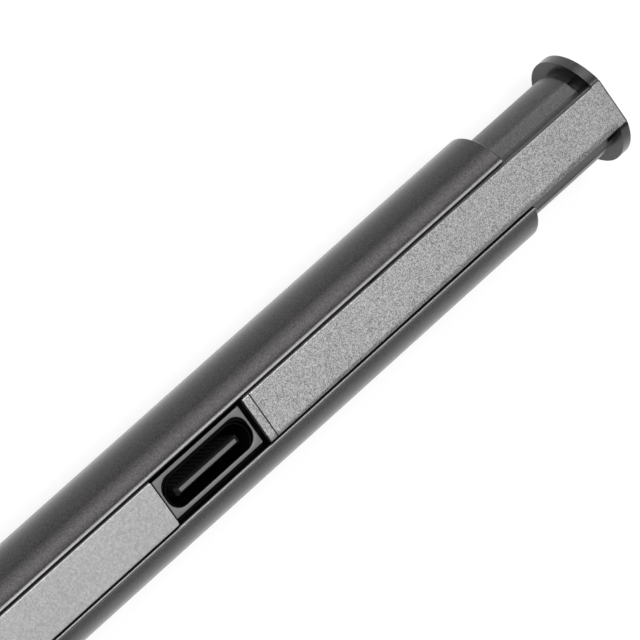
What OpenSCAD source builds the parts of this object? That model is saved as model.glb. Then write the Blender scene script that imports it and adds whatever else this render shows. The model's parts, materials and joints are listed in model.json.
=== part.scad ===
// Slim rechargeable stylus pen, lying along X with its flat strip up and its tail slider pulled out.
// Millimetres. The origin is under the middle of the opened pen, on the surface that it lies on.

/* [Barrel] */
// Outside diameter of the barrel
barrel_d = 9.5; // [9.3:0.1:10.5]
// Wall of the barrel
barrel_wall = 0.9; // [0.8:0.05:1]
// Closed ring of the barrel ahead of the channel
ring_len = 6; // [5:0.5:8]
// Width of the bright cut along each edge of the channel
edge_cut = 0.19; // [0.1:0.01:0.25]
// How deep that cut goes at the channel's wall
edge_drop = 0.05; // [0.02:0.01:0.1]
// Bevel round both ends of the barrel
rim_bevel = 0.15; // [0.05:0.05:0.25]

/* [Strip] */
// Thickness of the flat metal strip
strip_t = 0.2; // [0.15:0.01:0.25]
// Gap between the strip and each wall of the channel
strip_gap = 0.21; // [0.17:0.01:0.26]
// How far the strip stands above the channel's edges
strip_proud = 0.11; // [0.05:0.01:0.16]
// Length of the strip ahead of the buttons
nose_strip_len = 7.4; // [6:0.2:10]
// Gap between the strip's front end and the channel's end wall
strip_end_gap = 0.2; // [0.1:0.05:0.4]

/* [Nose] */
// Length of the nose cone outside the barrel
cone_len = 17.4; // [15:0.2:20]
// Radius of the cone's mouth
mouth_r = 1.5; // [1.4:0.05:1.7]
// How much the cone's side swells outwards
cone_bulge = 0.45; // [0.2:0.05:0.7]
// Step from the barrel down to the cone
cone_step = 0.1; // [0.05:0.05:0.2]
// Length of the cone's spigot in the barrel
spigot_len = 5.8; // [5.4:0.2:6.6]
// How far the nib stands out of the cone
nib_out = 2.6; // [2:0.1:3.2]
// Radius of the nib's shank
nib_r = 0.85; // [0.75:0.05:0.9]
// Radius of the nib's writing point
nib_point_r = 0.45; // [0.35:0.05:0.6]
// Running clearance round the nib and its plunger
nib_fit = 0.08; // [0.03:0.01:0.1]
// Radius of the plunger that holds the nib
plunger_r = 1.3; // [1.2:0.05:1.4]
// Wall of the tilt sensing sleeve
tilt_wall = 0.35; // [0.25:0.05:0.45]
// How far the nib gives under pressure
nib_travel = 0.3; // [0.15:0.05:0.35]
// Radius of the force sensor's case
sensor_r = 2.6; // [2.3:0.1:2.8]
// Length of the force sensor's case
sensor_len = 3.6; // [3:0.2:4.2]
// Wire of the nib's return spring
spring_wire = 0.2; // [0.16:0.02:0.24]
// Turns of the nib's return spring
spring_turns = 4; // [3:1:4]

/* [Buttons] */
// Length of each side button
button_len = 9.4; // [8:0.2:11]
// Gap between a button and what lies ahead of or behind it
button_gap = 0.3; // [0.2:0.05:0.4]
// How far a button stands above the strip
button_proud = 0.1; // [0:0.05:0.25]
// How far a button can be pressed
button_travel = 0.3; // [0.2:0.05:0.35]
// Half width of the ledge that keeps a button in the barrel
button_ledge_y = 2.6; // [2.5:0.05:2.7]
// Height of that ledge
button_ledge_t = 0.35; // [0.25:0.05:0.4]

/* [Inside] */
// Gap between the bore and the fixed pieces that it holds
seat_gap = 0.05; // [0.03:0.01:0.08]
// Thickness of the main circuit board
board_t = 0.6; // [0.4:0.1:0.8]
// Length of the main circuit board
board_len = 34; // [32:1:40]
// Width of the main circuit board
board_w = 6.4; // [6:0.1:6.6]
// Height of the board's underside above the barrel's axis
board_level = 0.1; // [-0.2:0.1:0.2]
// Diameter of the battery
battery_d = 5.4; // [5:0.1:5.5]
// Length of the battery
battery_len = 34; // [24:1:45]
// Wall of the chassis under the battery
cradle_wall = 0.45; // [0.4:0.05:0.6]
// Wall of the chassis between the main board and the battery
bay_lead = 1.6; // [1.2:0.1:3]
// Thickness of the foam pad at each end of the battery
pad_t = 0.4; // [0.3:0.1:0.6]
// Thickness of the flat cable over the battery
flex_t = 0.12; // [0.1:0.01:0.16]
// Width of the flat cable
flex_w = 1.8; // [1.4:0.1:1.9]
// Length of each magnet under the strip
magnet_len = 10; // [8:0.5:12]
// Diameter of the board screws' shanks
screw_d = 1; // [0.8:0.1:1.1]

/* [Charging port] */
// Length of the receptacle's opening
port_l = 8.34; // [8.2:0.02:8.4]
// Width of the receptacle's opening
port_w = 2.56; // [2.5:0.02:2.6]
// Sheet thickness of the receptacle's shell
shell_t = 0.2; // [0.15:0.01:0.22]
// How far the receptacle lies off the strip's middle line
port_off = 0.1; // [0:0.02:0.1]
// Margin of the bezel's hole past each end of the opening
hole_end = 0.22; // [0.1:0.02:0.24]
// Margin of the bezel's hole past each side of the opening
hole_side = 0.1; // [0.06:0.01:0.12]
// Width of the bezel's plate past each end of its hole
bezel_end = 0.26; // [0.2:0.02:0.6]
// Width of the bezel's plate past each side of its hole
bezel_side = 0.33; // [0.28:0.01:0.4]
// Gap between the bezel's plate and the strip ends on either side
bezel_gap = 0.325; // [0.2:0.005:0.8]
// Thickness of the bezel's plate over the shell's rim
bezel_t = 0.27; // [0.2:0.01:0.3]
// Width of the receptacle's tongue
tongue_w = 6.69; // [6.5:0.01:6.8]
// Thickness of the receptacle's tongue
tongue_t = 0.7; // [0.6:0.02:0.74]
// Contacts on each face of the tongue
contacts = 12; // [10:1:12]
// Spacing of the contacts
contact_pitch = 0.5; // [0.48:0.01:0.5]
// Thickness of the port's circuit board
port_board_t = 0.5; // [0.4:0.05:0.6]

/* [Tail slider] */
// Thickness of the end flange
flange_t = 0.87; // [0.7:0.05:1.1]
// How much smaller in radius the flange is than the barrel
flange_inset = 0.01; // [0:0.01:0.2]
// Gap between flange and barrel when the slider is in
flange_gap = 0.085; // [0.05:0.005:0.3]
// How far the opened slider still reaches into the barrel
slider_reach = 29.37; // [29:0.1:31]
// Running clearance of the plug in the bore
plug_fit = 0.063; // [0.03:0.005:0.09]
// Gap between the slider's rail and each wall of the channel
rail_gap = 0.155; // [0.1:0.005:0.16]
// Thickness of the arm's web over the port
web_t = 0.2; // [0.15:0.01:0.25]
// Thickness of the arm's side skirts
skirt_t = 0.25; // [0.2:0.01:0.27]
// Depth of the arm's side skirts below its top
skirt_h = 0.8; // [0.6:0.05:0.9]
// Gap between the arm and the port's bezel under it
over_gap = 0.157; // [0.1:0.01:0.2]
// Gap between each skirt and the bezel's side
bezel_side_gap = 0.07; // [0.05:0.01:0.1]
// Gap between the closed slider and the fixed strip
closed_gap = 0.35; // [0.25:0.05:0.5]
// Length of the lip at the slider's front end
lip_len = 0.68; // [0.5:0.02:1]
// Seam between the lip and the slider's strip
lip_seam = 0.08; // [0.04:0.01:0.12]
// How far the flange's flat lies below the strip's face
flat_drop = 0.08; // [0.04:0.01:0.12]
// Width of the relief groove in front of the flange
neck_len = 0.35; // [0.2:0.05:0.5]
// Depth of that groove
neck_depth = 0.22; // [0.1:0.02:0.3]
// Outer edge of the flats beside the rail, from the middle line
flat_y = 3.03; // [2.8:0.01:3.1]
// Distance from the end of those flats to the flange
flat_end = 1; // [0.8:0.1:2]
// Diameter of the guide screw's shank
guide_d = 2; // [1.6:0.1:2.2]
// Diameter of the guide screw's head
guide_head_d = 3.2; // [2.8:0.1:3.3]
// Diameter of the plug's inner bore
cavity_d = 3.8; // [3.7:0.1:4.2]
// Length of the wall at the plug's front end
plug_wall = 2; // [1.5:0.1:2.6]
// Thickness of the bulkhead that closes the electronics bay
bulkhead_t = 1.8; // [1.4:0.1:2.2]
// Width of the friction clip round the plug
clip_w = 1.2; // [0.8:0.1:1.6]
// Radial thickness of the friction clip
clip_t = 0.3; // [0.2:0.02:0.36]

/* [Hidden] */
$fn = 64;

// Room by which a cutting solid passes the face that it cuts
over = 1;
// Gap between flat faces of fixed neighbours along the pen
end_fit = 0.05;
// Angle from the barrel's lowest line to the seam of its round faces
seam_turn = 4;

// Radii about the barrel's axis
barrel_r = barrel_d / 2;
bore_r = barrel_r - barrel_wall;
seat_r = bore_r - seat_gap;
plug_r = bore_r - plug_fit;
flange_r = barrel_r - flange_inset;

// Port, bezel, rail and channel, each as wide as what it holds needs
bezel_len = port_l + 2 * hole_end + 2 * bezel_end;
bezel_y = port_w / 2 + hole_side + bezel_side;
rail_y = bezel_y + bezel_side_gap + skirt_t;
channel_y = rail_y + rail_gap;

// Channel and strip, as half widths and heights above the axis
edge_z = sqrt(barrel_r * barrel_r - channel_y * channel_y);
cut_y = channel_y + edge_cut;
cut_z = sqrt(barrel_r * barrel_r - cut_y * cut_y);
strip_y = channel_y - strip_gap;
strip_top = edge_z + strip_proud;
bed_top = strip_top - strip_t;

// Places along the pen, from the nib's point to the battery
barrel_front = nib_out + cone_len;
channel_front = barrel_front + ring_len;
spigot_end = barrel_front + spigot_len;
chassis_gap = 0.2;
board_lead = 0.6;
chassis_front = spigot_end + chassis_gap;
board_x = chassis_front + board_lead;
board_end = board_x + board_len;
bay_x0 = board_end + bay_lead;
battery_x = bay_x0 + pad_t + end_fit;
battery_end = battery_x + battery_len;
bay_x1 = battery_end + pad_t + end_fit;
bay_wall = 1;
bay_end = bay_x1 + bay_wall;

// Places along the pen from the battery to the flange
port_board_lead = 2.4;
port_board_front = 8.2;
port_board_back = 6.7;
port_board_x = bay_end + port_board_lead;
port_x = port_board_x + port_board_front;
port_board_end = port_x + port_board_back;
port_gap = bezel_len + 2 * bezel_gap;
travel = port_gap - closed_gap;
strip_end = port_x - port_gap / 2;
lip_x = port_x + port_gap / 2;
barrel_tail = lip_x + slider_reach;
flange_x = barrel_tail + flange_gap + travel;

// Length of the pen with the slider in and out; the frame is centred on the second
pen_len = barrel_tail + flange_gap + flange_t;
open_len = pen_len + travel;

// Strip and buttons along the pen
strip_front = channel_front + strip_end_gap;
nose_strip_end = strip_front + nose_strip_len;
lower_x = nose_strip_end + button_gap;
upper_x = lower_x + button_len + button_gap;
main_strip_x = upper_x + button_len + button_gap;

// Nose parts along the pen: the plunger fills what the nib and the sensor leave
cone_points = 10;
nib_cone_len = 2.3;
nib_shank_len = 6.4;
nib_shank_end = nib_out + nib_shank_len;
nib_tail_len = 2.4;
nib_tail_r = nib_r - 0.25;
nib_grip = 1;
plunger_x = nib_shank_end - nib_grip;
sensor_seat = 1.7;
sensor_x = spigot_end - sensor_seat - sensor_len;
spring_room = 3;
plunger_end = sensor_x - spring_room;
push_rod_r = 0.55;
rod_reach = 0.4;
rod_room = 0.3;
rod_well = rod_reach + nib_travel + rod_room;
sleeve_in_r = plunger_r + nib_fit;
sleeve_out_r = sleeve_in_r + tilt_wall;
cone_well_r = sleeve_out_r + seat_gap;
sleeve_front_step = 0.5;
sleeve_back_step = 1.8;
sleeve_x = plunger_x + sleeve_front_step;
sleeve_end = plunger_end - sleeve_back_step;
sensor_well_r = sensor_r + seat_gap;
sensor_tail_y = 1;
seal_r = 0.18;
seal_x = (barrel_front + spigot_end) / 2;
seal_ring_r = bore_r - seal_r - 0.01;
spigot_r = bore_r - seat_gap / 2;

// Nib spring
coil_r = (push_rod_r + spring_wire + sleeve_out_r) / 2;
coil_rings = 8;
coil_sides = 6;
coil_seat = 0.06;
coil_pitch = (spring_room - 2 * coil_seat - spring_wire) / spring_turns;
coil_gap = coil_pitch * cos(atan(coil_pitch / (2 * PI * coil_r))) - spring_wire;

// Boards, battery and flat cable
board_y = board_w / 2;
board_top = board_level + board_t;
tray_rim = 0.5;
tray_y = board_y - tray_rim;
tray_floor = -2.2;
tray_lead = 3;
tray_tail = 5;
chip_grid = 1;
port_board_y = 1.8;
port_floor_t = 0.6;
port_floor = -seat_r + port_floor_t;
port_board_top = port_floor + port_board_t;
battery_r = battery_d / 2;
battery_z = -(seat_r - cradle_wall - battery_r);
bay_top = 0.4;
port_bay_top = -0.8;
pad_inset = 0.3;
pad_r = battery_r - pad_inset;
pad_cut_z = -0.7;
film_gap = 0.01;
tab_t = 0.12;
tab_y = 1.5;
tab_half_w = 0.5;
flex_z = battery_z + battery_r + end_fit + flex_t / 2;
bed_low = flex_z + flex_t / 2 + end_fit;
chassis_lip = 0.8;
chassis_end = port_board_end + chassis_lip;

// Board screws: two hold the main board and two the port board
screw_r = screw_d / 2;
screw_head_r = 0.9;
screw_head_h = 0.4;
screw_slot = 0.25;
screw_bite = 0.3;
port_screw_x = 5.6;
main_screw_lead = 1.5;
main_screw_tail = 3.4;
main_screws = [board_x + main_screw_lead, board_end - main_screw_tail];
port_screws = [port_x - port_screw_x, port_x + port_screw_x];

// Buttons and switches
button_ledge_z = sqrt(seat_r * seat_r - button_ledge_y * button_ledge_y);
button_low = button_ledge_z - button_ledge_t;
button_top = strip_top + button_proud;
switch_gap = button_travel + end_fit;
switch_top = button_low - switch_gap;
switch_l = 3.2;
switch_y = 1.3;
stem_r = 0.6;
stem_h = 0.5;
ledge_gap = 0.1;
window_y = button_ledge_y + ledge_gap;

// Magnets in the strip's bed
magnet_y = 1.4;
magnet_h = 0.9;
magnet_cover = 0.15;
magnet_inset = 9;

// Receptacle and bezel
shell_l = port_l + 2 * shell_t;
shell_w = port_w + 2 * shell_t;
web_low = bed_top - web_t;
bezel_top = web_low - over_gap;
rim_z = bezel_top - bezel_t;
bezel_h = 0.87;
bezel_foot_h = 0.7;
bezel_step_z = bezel_top - bezel_h;
bezel_low = bezel_step_z - bezel_foot_h;
bezel_foot_gap = 0.15;
tongue_base_t = 0.5;
tongue_top = rim_z;
tongue_bevel = 0.16;
contact_w = 0.25;
contact_t = 0.06;
contact_foot = 0.6;
contact_tip = 0.55;
contact_low = port_board_top + tongue_base_t + contact_foot;
contact_top = tongue_top - contact_tip;

// Tail slider
bulkhead_x = chassis_end + end_fit;
bulkhead_end = bulkhead_x + bulkhead_t;
bulkhead_drop = 0.1;
bulkhead_top = bezel_step_z - bulkhead_drop;
park_gap = 0.3;
plug_front = bulkhead_end + park_gap + travel;
plug_end = flange_x - neck_len;
neck_r = plug_r - neck_depth;
cavity_r = cavity_d / 2;
guide_r = guide_d / 2;
guide_head_r = guide_head_d / 2;
guide_fit = 0.08;
stop_gap = 0.1;
guide_head_x = plug_front + plug_wall + stop_gap;
guide_head_len = 1;
guide_slot = 0.5;
flange_spigot = 3;
flange_bevel = 0.07;
flange_flat_z = strip_top - flat_drop;
lip_hook = 0.24;
arm_x = lip_x + lip_hook;
foot_z = sqrt(plug_r * plug_r - rail_y * rail_y);
flat_z = sqrt(plug_r * plug_r - flat_y * flat_y);
clip_r = bore_r - 0.02;
clip_lead = 6;
clip_x = plug_front + clip_lead;
clip_fit = 0.02;
clip_open = 84;

echo(nib_spring_least_gap_mm = coil_gap);

// Moves a piece from the pen's own axis to its place on the surface
module pen_frame() {
    translate([-open_len / 2, 0, barrel_r]) children();
}

// Round bar along the pen
module bar(r, x0, x1) {
    translate([x0, 0, 0]) rotate([0, 90, 0]) cylinder(r = r, h = x1 - x0);
}

// Solid of revolution about the pen's axis, from points of place along the pen and radius
module turned(points) {
    rotate([0, 90, 0]) rotate_extrude() polygon([for (p = points) [p[1], p[0]]]);
}

// Block between two places along the pen and two heights, as wide as y on each side
module block(x0, x1, y, z0, z1) {
    translate([x0, -y, z0]) cube([x1 - x0, 2 * y, z1 - z0]);
}

// The part of a round bar between two heights
module segment(r, x0, x1, z0, z1) {
    intersection() {
        bar(r, x0, x1);
        block(x0, x1, r, z0, z1);
    }
}

// Outline along the pen, given as places and heights, made as wide as y on each side
module side_shape(points, y) {
    translate([0, y, 0]) rotate([90, 0, 0]) linear_extrude(2 * y) polygon(points);
}

// Outline across the pen, given as half widths and heights, drawn out along it
module cross_shape(points, x0, x1) {
    translate([x0, 0, 0]) rotate([90, 0, 90]) linear_extrude(x1 - x0) polygon(points);
}

// Long hole or bar with round ends, its length along the pen
module oblong(length, width, z0, z1) {
    translate([0, 0, z0]) linear_extrude(z1 - z0) {
        square([length - width, width], center = true);
        for (side = [-1, 1]) translate([side * (length - width) / 2, 0]) circle(d = width);
    }
}

// Both edges of a ribbon of thickness t that follows a path of places and heights
function normal_at(path, i) =
    let (
        a = path[max(i - 1, 0)],
        b = path[min(i + 1, len(path) - 1)],
        d = b - a
    )
    [-d[1], d[0]] / norm(d);
function ribbon(path, t) = concat(
    [for (i = [0 : len(path) - 1]) path[i] + normal_at(path, i) * t / 2],
    [for (i = [len(path) - 1 : -1 : 0]) path[i] - normal_at(path, i) * t / 2]
);

// Radius of the nose cone's outside at a share s of its length, from mouth to barrel
function cone_radius(s) =
    mouth_r + (barrel_r - cone_step - mouth_r) * s + 4 * cone_bulge * s * (1 - s);

module barrel() {
    color("dimgray") pen_frame() difference() {
        rotate([seam_turn, 0, 0]) turned([
            [barrel_front, bore_r], [barrel_front, barrel_r - rim_bevel],
            [barrel_front + rim_bevel, barrel_r], [barrel_tail - rim_bevel, barrel_r],
            [barrel_tail, barrel_r - rim_bevel], [barrel_tail, bore_r]
        ]);
        block(channel_front, barrel_tail + over, channel_y, 0, barrel_r + over);
        for (side = [-1, 1])
            cross_shape([
                [side * (channel_y - edge_cut), edge_z + edge_cut],
                [side * (channel_y - edge_cut), edge_z - edge_drop],
                [side * channel_y, edge_z - edge_drop],
                [side * cut_y, cut_z],
                [side * cut_y, edge_z + edge_cut]
            ], channel_front, barrel_tail + over);
    }
}

module nose_cone() {
    shell = [
        for (i = [0 : cone_points])
            let (s = i / cone_points) [nib_out + cone_len * s, cone_radius(s)]
    ];
    color([0.09, 0.09, 0.1]) pen_frame() difference() {
        turned(concat(
            [[nib_out, 0]],
            shell,
            [[barrel_front, spigot_r], [spigot_end, spigot_r], [spigot_end, 0]]
        ));
        bar(nib_r + nib_fit, nib_out - over, nib_shank_end);
        bar(cone_well_r, sleeve_x, sensor_x);
        bar(plunger_r + nib_fit, plunger_x - nib_travel - end_fit, sleeve_x + end_fit);
        bar(sensor_well_r, sensor_x - end_fit, spigot_end + over);
        turned([
            [seal_x - seal_r, seal_ring_r - seal_r], [seal_x + seal_r, seal_ring_r - seal_r],
            [seal_x + seal_r, bore_r + over], [seal_x - seal_r, bore_r + over]
        ]);
    }
}

module nose_seal() {
    color("black") pen_frame() translate([seal_x, 0, 0]) rotate([0, 90, 0])
        rotate_extrude() translate([seal_ring_r, 0]) circle(r = seal_r, $fn = 24);
}

module nib() {
    color([0.12, 0.12, 0.12]) pen_frame() {
        translate([nib_point_r, 0, 0]) sphere(r = nib_point_r);
        turned([
            [nib_point_r, 0], [nib_point_r, nib_point_r], [nib_cone_len, nib_r], [nib_shank_end, nib_r],
            [nib_shank_end, nib_tail_r], [nib_shank_end + nib_tail_len, nib_tail_r],
            [nib_shank_end + nib_tail_len, 0]
        ]);
    }
}

module nib_plunger() {
    color("silver") pen_frame() difference() {
        union() {
            bar(plunger_r, plunger_x, plunger_end);
            bar(push_rod_r, plunger_x, sensor_x + rod_reach);
        }
        bar(nib_r, plunger_x - over, nib_shank_end);
        bar(nib_tail_r, nib_shank_end - end_fit, nib_shank_end + nib_tail_len);
    }
}

module tilt_sleeve() {
    color("goldenrod") pen_frame() difference() {
        bar(sleeve_out_r, sleeve_x, sleeve_end);
        bar(sleeve_in_r, sleeve_x - over, sleeve_end + over);
    }
}

// One unbroken tube: a ring of points for every step along the coil, closed at both ends
module nib_spring() {
    steps = spring_turns * coil_rings;
    x0 = plunger_end + coil_seat + spring_wire / 2;
    points = [
        for (i = [0 : steps])
            let (a = 360 * i / coil_rings, x = x0 + coil_pitch * i / coil_rings)
                for (j = [0 : coil_sides - 1])
                    let (b = 360 * j / coil_sides, r = coil_r + cos(b) * spring_wire / 2)
                        [x + sin(b) * spring_wire / 2, r * cos(a), r * sin(a)]
    ];
    walls = [
        for (i = [0 : steps - 1])
            for (j = [0 : coil_sides - 1])
                let (
                    k = (j + 1) % coil_sides,
                    a = i * coil_sides + j,
                    b = i * coil_sides + k,
                    c = (i + 1) * coil_sides + k,
                    d = (i + 1) * coil_sides + j
                )
                    each [[a, b, c], [a, c, d]]
    ];
    last = steps * coil_sides;
    caps = concat(
        [for (j = [1 : coil_sides - 2]) [0, j + 1, j]],
        [for (j = [1 : coil_sides - 2]) [last, last + j, last + j + 1]]
    );
    color("lightgray") pen_frame() polyhedron(points = points, faces = concat(walls, caps));
}

module force_sensor() {
    color("darkslategray") pen_frame() difference() {
        union() {
            bar(sensor_r, sensor_x, sensor_x + sensor_len);
            block(sensor_x + sensor_len / 2, board_x, sensor_tail_y, board_level, board_top);
        }
        bar(push_rod_r + nib_fit, sensor_x - over, sensor_x + rod_well);
    }
}

// Upright hole for a board screw
module screw_hole(x, z0, z1) {
    translate([x, 0, z0]) cylinder(r = screw_r, h = z1 - z0);
}

module chassis() {
    tray_end = board_end + 0.1;
    color([0.16, 0.16, 0.17]) pen_frame() difference() {
        union() {
            segment(seat_r, chassis_front, chassis_end, -seat_r, port_bay_top);
            segment(seat_r, chassis_front, bay_end, -seat_r, board_level);
            segment(seat_r, tray_end, bay_end, -seat_r, bay_top);
        }
        block(board_x + tray_lead, board_end - tray_tail, tray_y, tray_floor, board_level + over);
        intersection() {
            translate([0, 0, battery_z]) bar(battery_r + end_fit / 2, bay_x0, bay_x1);
            block(bay_x0, bay_x1, seat_r, -seat_r, bay_top + over);
        }
        block(bay_x0, bay_x1, battery_r + end_fit / 2, battery_z, bay_top + over);
        block(bay_end, port_board_end + end_fit, port_board_y + end_fit, port_floor, port_bay_top + over);
        for (x = main_screws) screw_hole(x, board_level - screw_bite, board_level + over);
        for (x = port_screws) screw_hole(x, port_floor - screw_bite, port_floor + over);
    }
}

module main_board() {
    color("darkgreen") pen_frame() difference() {
        block(board_x, board_end, board_y, board_level, board_top);
        for (x = main_screws) screw_hole(x, board_level - over, board_top + over);
    }
}

module chip(c, z) {
    translate([board_x + c[0], c[1] - c[3] / 2, z]) cube([c[2], c[3], c[4]]);
}

// Chips on the board: place along the board, offset across it, length, width and height, in grid steps
module board_chips() {
    below = chip_grid * [
        [5, 0, 4, 4, 0.8], [11, -1, 2.5, 2, 0.6], [11, 1.2, 1.6, 1.2, 0.5],
        [16, 0, 5, 5, 0.8], [21.5, 1.2, 2, 1.6, 0.9], [21.5, -1.2, 2, 1.6, 0.9]
    ];
    above = chip_grid * [[5.5, 2, 2.4, 1.2, 0.7], [5.5, -2, 2.4, 1.2, 0.7]];
    color([0.07, 0.07, 0.08]) pen_frame() {
        for (c = below) chip(c, board_level - c[4]);
        for (c = above) chip(c, board_top);
    }
}

// Push switch under the middle of a button
module switch_at(x) {
    pen_frame() translate([x + button_len / 2, 0, 0]) {
        block(-switch_l / 2, switch_l / 2, switch_y, board_top, switch_top - stem_h);
        translate([0, 0, board_top]) cylinder(r = stem_r, h = switch_top - board_top);
    }
}

module lower_switch() { color("gainsboro") switch_at(lower_x); }
module upper_switch() { color("gainsboro") switch_at(upper_x); }

// Button cap in the channel, with the ledge under the barrel's wall that keeps it in
module button_at(x) {
    pen_frame() {
        block(x, x + button_len, strip_y, button_low, button_top);
        intersection() {
            block(x, x + button_len, button_ledge_y, button_low, button_ledge_z);
            bar(seat_r, x, x + button_len);
        }
    }
}

module lower_button() { color("darkgray") button_at(lower_x); }
module upper_button() { color("darkgray") button_at(upper_x); }

module magnet_pair(grow) {
    top = bed_top - magnet_cover;
    for (x = [main_strip_x + magnet_inset, strip_end - magnet_inset - magnet_len])
        block(x - grow, x + magnet_len + grow, magnet_y + grow, top - magnet_h - grow, top + grow);
}

module strip_bed() {
    bed_front = max(strip_front, chassis_front);
    color([0.14, 0.14, 0.15]) pen_frame() difference() {
        union() {
            segment(seat_r, chassis_front, strip_end, bed_low, seat_r);
            block(bed_front, strip_end, rail_y, bed_low, bed_top);
        }
        block(nose_strip_end, main_strip_x, window_y, bed_low - over, bed_top + over);
        magnet_pair(end_fit / 2);
    }
}

module nose_strip() {
    color("darkgray") pen_frame() block(strip_front, nose_strip_end, strip_y, bed_top, strip_top);
}

module main_strip() {
    color("darkgray") pen_frame() block(main_strip_x, strip_end, strip_y, bed_top, strip_top);
}

module magnets() {
    color("slategray") pen_frame() magnet_pair(0);
}

module battery() {
    color("steelblue") pen_frame() translate([0, 0, battery_z]) bar(battery_r, battery_x, battery_end);
}

module battery_pads() {
    color("khaki") pen_frame() translate([0, 0, battery_z]) {
        bar(pad_r, battery_end, battery_end + pad_t);
        difference() {
            bar(pad_r, battery_x - pad_t, battery_x);
            block(battery_x - pad_t - over, battery_x + over, battery_r, pad_cut_z, battery_r);
        }
    }
}

module battery_tabs() {
    rise_x = battery_x - 0.15;
    low_z = board_top + tab_t / 2 + film_gap;
    path = [[rise_x, battery_z], [rise_x, bay_top + 2 * tab_t],
        [board_end - 0.4, low_z], [board_end - 2, low_z]];
    color("silver") pen_frame()
        for (side = [-1, 1]) translate([0, side * tab_y, 0]) side_shape(ribbon(path, tab_t), tab_half_w);
}

module flex_cable() {
    front_z = board_top + flex_t / 2 + film_gap;
    back_z = port_board_top + flex_t / 2 + film_gap;
    path = [[board_end - 2.2, front_z], [board_end - 0.6, front_z], [battery_x - 0.6, flex_z],
        [bay_end - 0.3, flex_z], [bay_end + 0.4, flex_z - 0.7], [port_board_x - 0.3, port_board_top + 0.5],
        [port_board_x + 0.3, back_z], [port_board_x + 1.3, back_z]];
    color("darkorange") pen_frame() side_shape(ribbon(path, flex_t), flex_w / 2);
}

module port_board() {
    color("darkgreen") pen_frame() difference() {
        block(port_board_x, port_board_end, port_board_y, port_floor, port_board_top);
        for (x = port_screws) screw_hole(x, port_floor - over, port_board_top + over);
    }
}

// Pan-head screw standing in a board whose underside is at z0 and top at z1
module screw(x, z0, z1) {
    top = z1 + screw_head_h;
    difference() {
        union() {
            translate([x, 0, z0 - screw_bite]) cylinder(r = screw_r, h = top - z0 + screw_bite);
            translate([x, 0, z1]) cylinder(r = screw_head_r, h = screw_head_h);
        }
        translate([x, 0, top]) cube([screw_slot, screw_head_r, screw_head_h], center = true);
        translate([x, 0, top]) cube([screw_head_r, screw_slot, screw_head_h], center = true);
    }
}

module board_screws() {
    color("dimgray") pen_frame() {
        for (x = main_screws) screw(x, board_level, board_top);
        for (x = port_screws) screw(x, port_floor, port_board_top);
    }
}

module port_shell() {
    color("silver") pen_frame() translate([port_x, -port_off, 0]) difference() {
        oblong(shell_l, shell_w, port_board_top, rim_z);
        oblong(port_l, port_w, port_board_top - over, rim_z + over);
    }
}

module port_tongue() {
    half = tongue_w / 2;
    color([0.1, 0.1, 0.11]) pen_frame() translate([port_x, -port_off, 0]) {
        oblong(port_l, port_w, port_board_top, port_board_top + tongue_base_t);
        intersection() {
            block(-half, half, tongue_t / 2, port_board_top, tongue_top);
            cross_shape([
                [-tongue_t / 2, port_board_top], [tongue_t / 2, port_board_top],
                [tongue_t / 2, tongue_top - tongue_bevel], [tongue_t / 2 - tongue_bevel, tongue_top],
                [tongue_bevel - tongue_t / 2, tongue_top], [-tongue_t / 2, tongue_top - tongue_bevel]
            ], -half, half);
            side_shape([
                [-half, port_board_top], [half, port_board_top], [half, tongue_top - 2 * tongue_bevel],
                [half - 2 * tongue_bevel, tongue_top], [2 * tongue_bevel - half, tongue_top],
                [-half, tongue_top - 2 * tongue_bevel]
            ], tongue_t);
        }
    }
}

module port_contacts() {
    color("gold") pen_frame() translate([port_x, -port_off, 0])
        for (side = [-1, 1])
            for (i = [0 : contacts - 1])
                translate([(i - (contacts - 1) / 2) * contact_pitch - contact_w / 2,
                    side > 0 ? tongue_t / 2 : -tongue_t / 2 - contact_t, contact_low])
                    cube([contact_w, contact_t, contact_top - contact_low]);
}

module port_bezel() {
    foot_x0 = strip_end + bezel_foot_gap;
    foot_x1 = lip_x - bezel_foot_gap;
    color([0.3, 0.3, 0.31]) pen_frame() difference() {
        union() {
            block(port_x - bezel_len / 2, port_x + bezel_len / 2, bezel_y, bezel_low, bezel_top);
            segment(seat_r, foot_x0, foot_x1, bezel_low, bezel_step_z);
        }
        translate([port_x, 0, 0])
            oblong(port_l + 2 * hole_end, port_w + 2 * hole_side, rim_z - over / 4, bezel_top + over);
        translate([port_x, -port_off, 0]) oblong(shell_l, shell_w, bezel_low - over, rim_z);
    }
}

module bulkhead() {
    color([0.16, 0.16, 0.17]) pen_frame() difference() {
        segment(seat_r, bulkhead_x, bulkhead_end, -seat_r, bulkhead_top);
        bar(guide_r, bulkhead_x - over, bulkhead_end + over);
    }
}

module guide_screw() {
    color("silver") pen_frame() difference() {
        union() {
            bar(guide_r, bulkhead_x, guide_head_x + guide_head_len);
            bar(guide_head_r, guide_head_x, guide_head_x + guide_head_len);
        }
        translate([guide_head_x + guide_head_len, 0, 0])
            cube([guide_head_len, guide_slot, guide_head_d * 1.5], center = true);
    }
}

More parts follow.
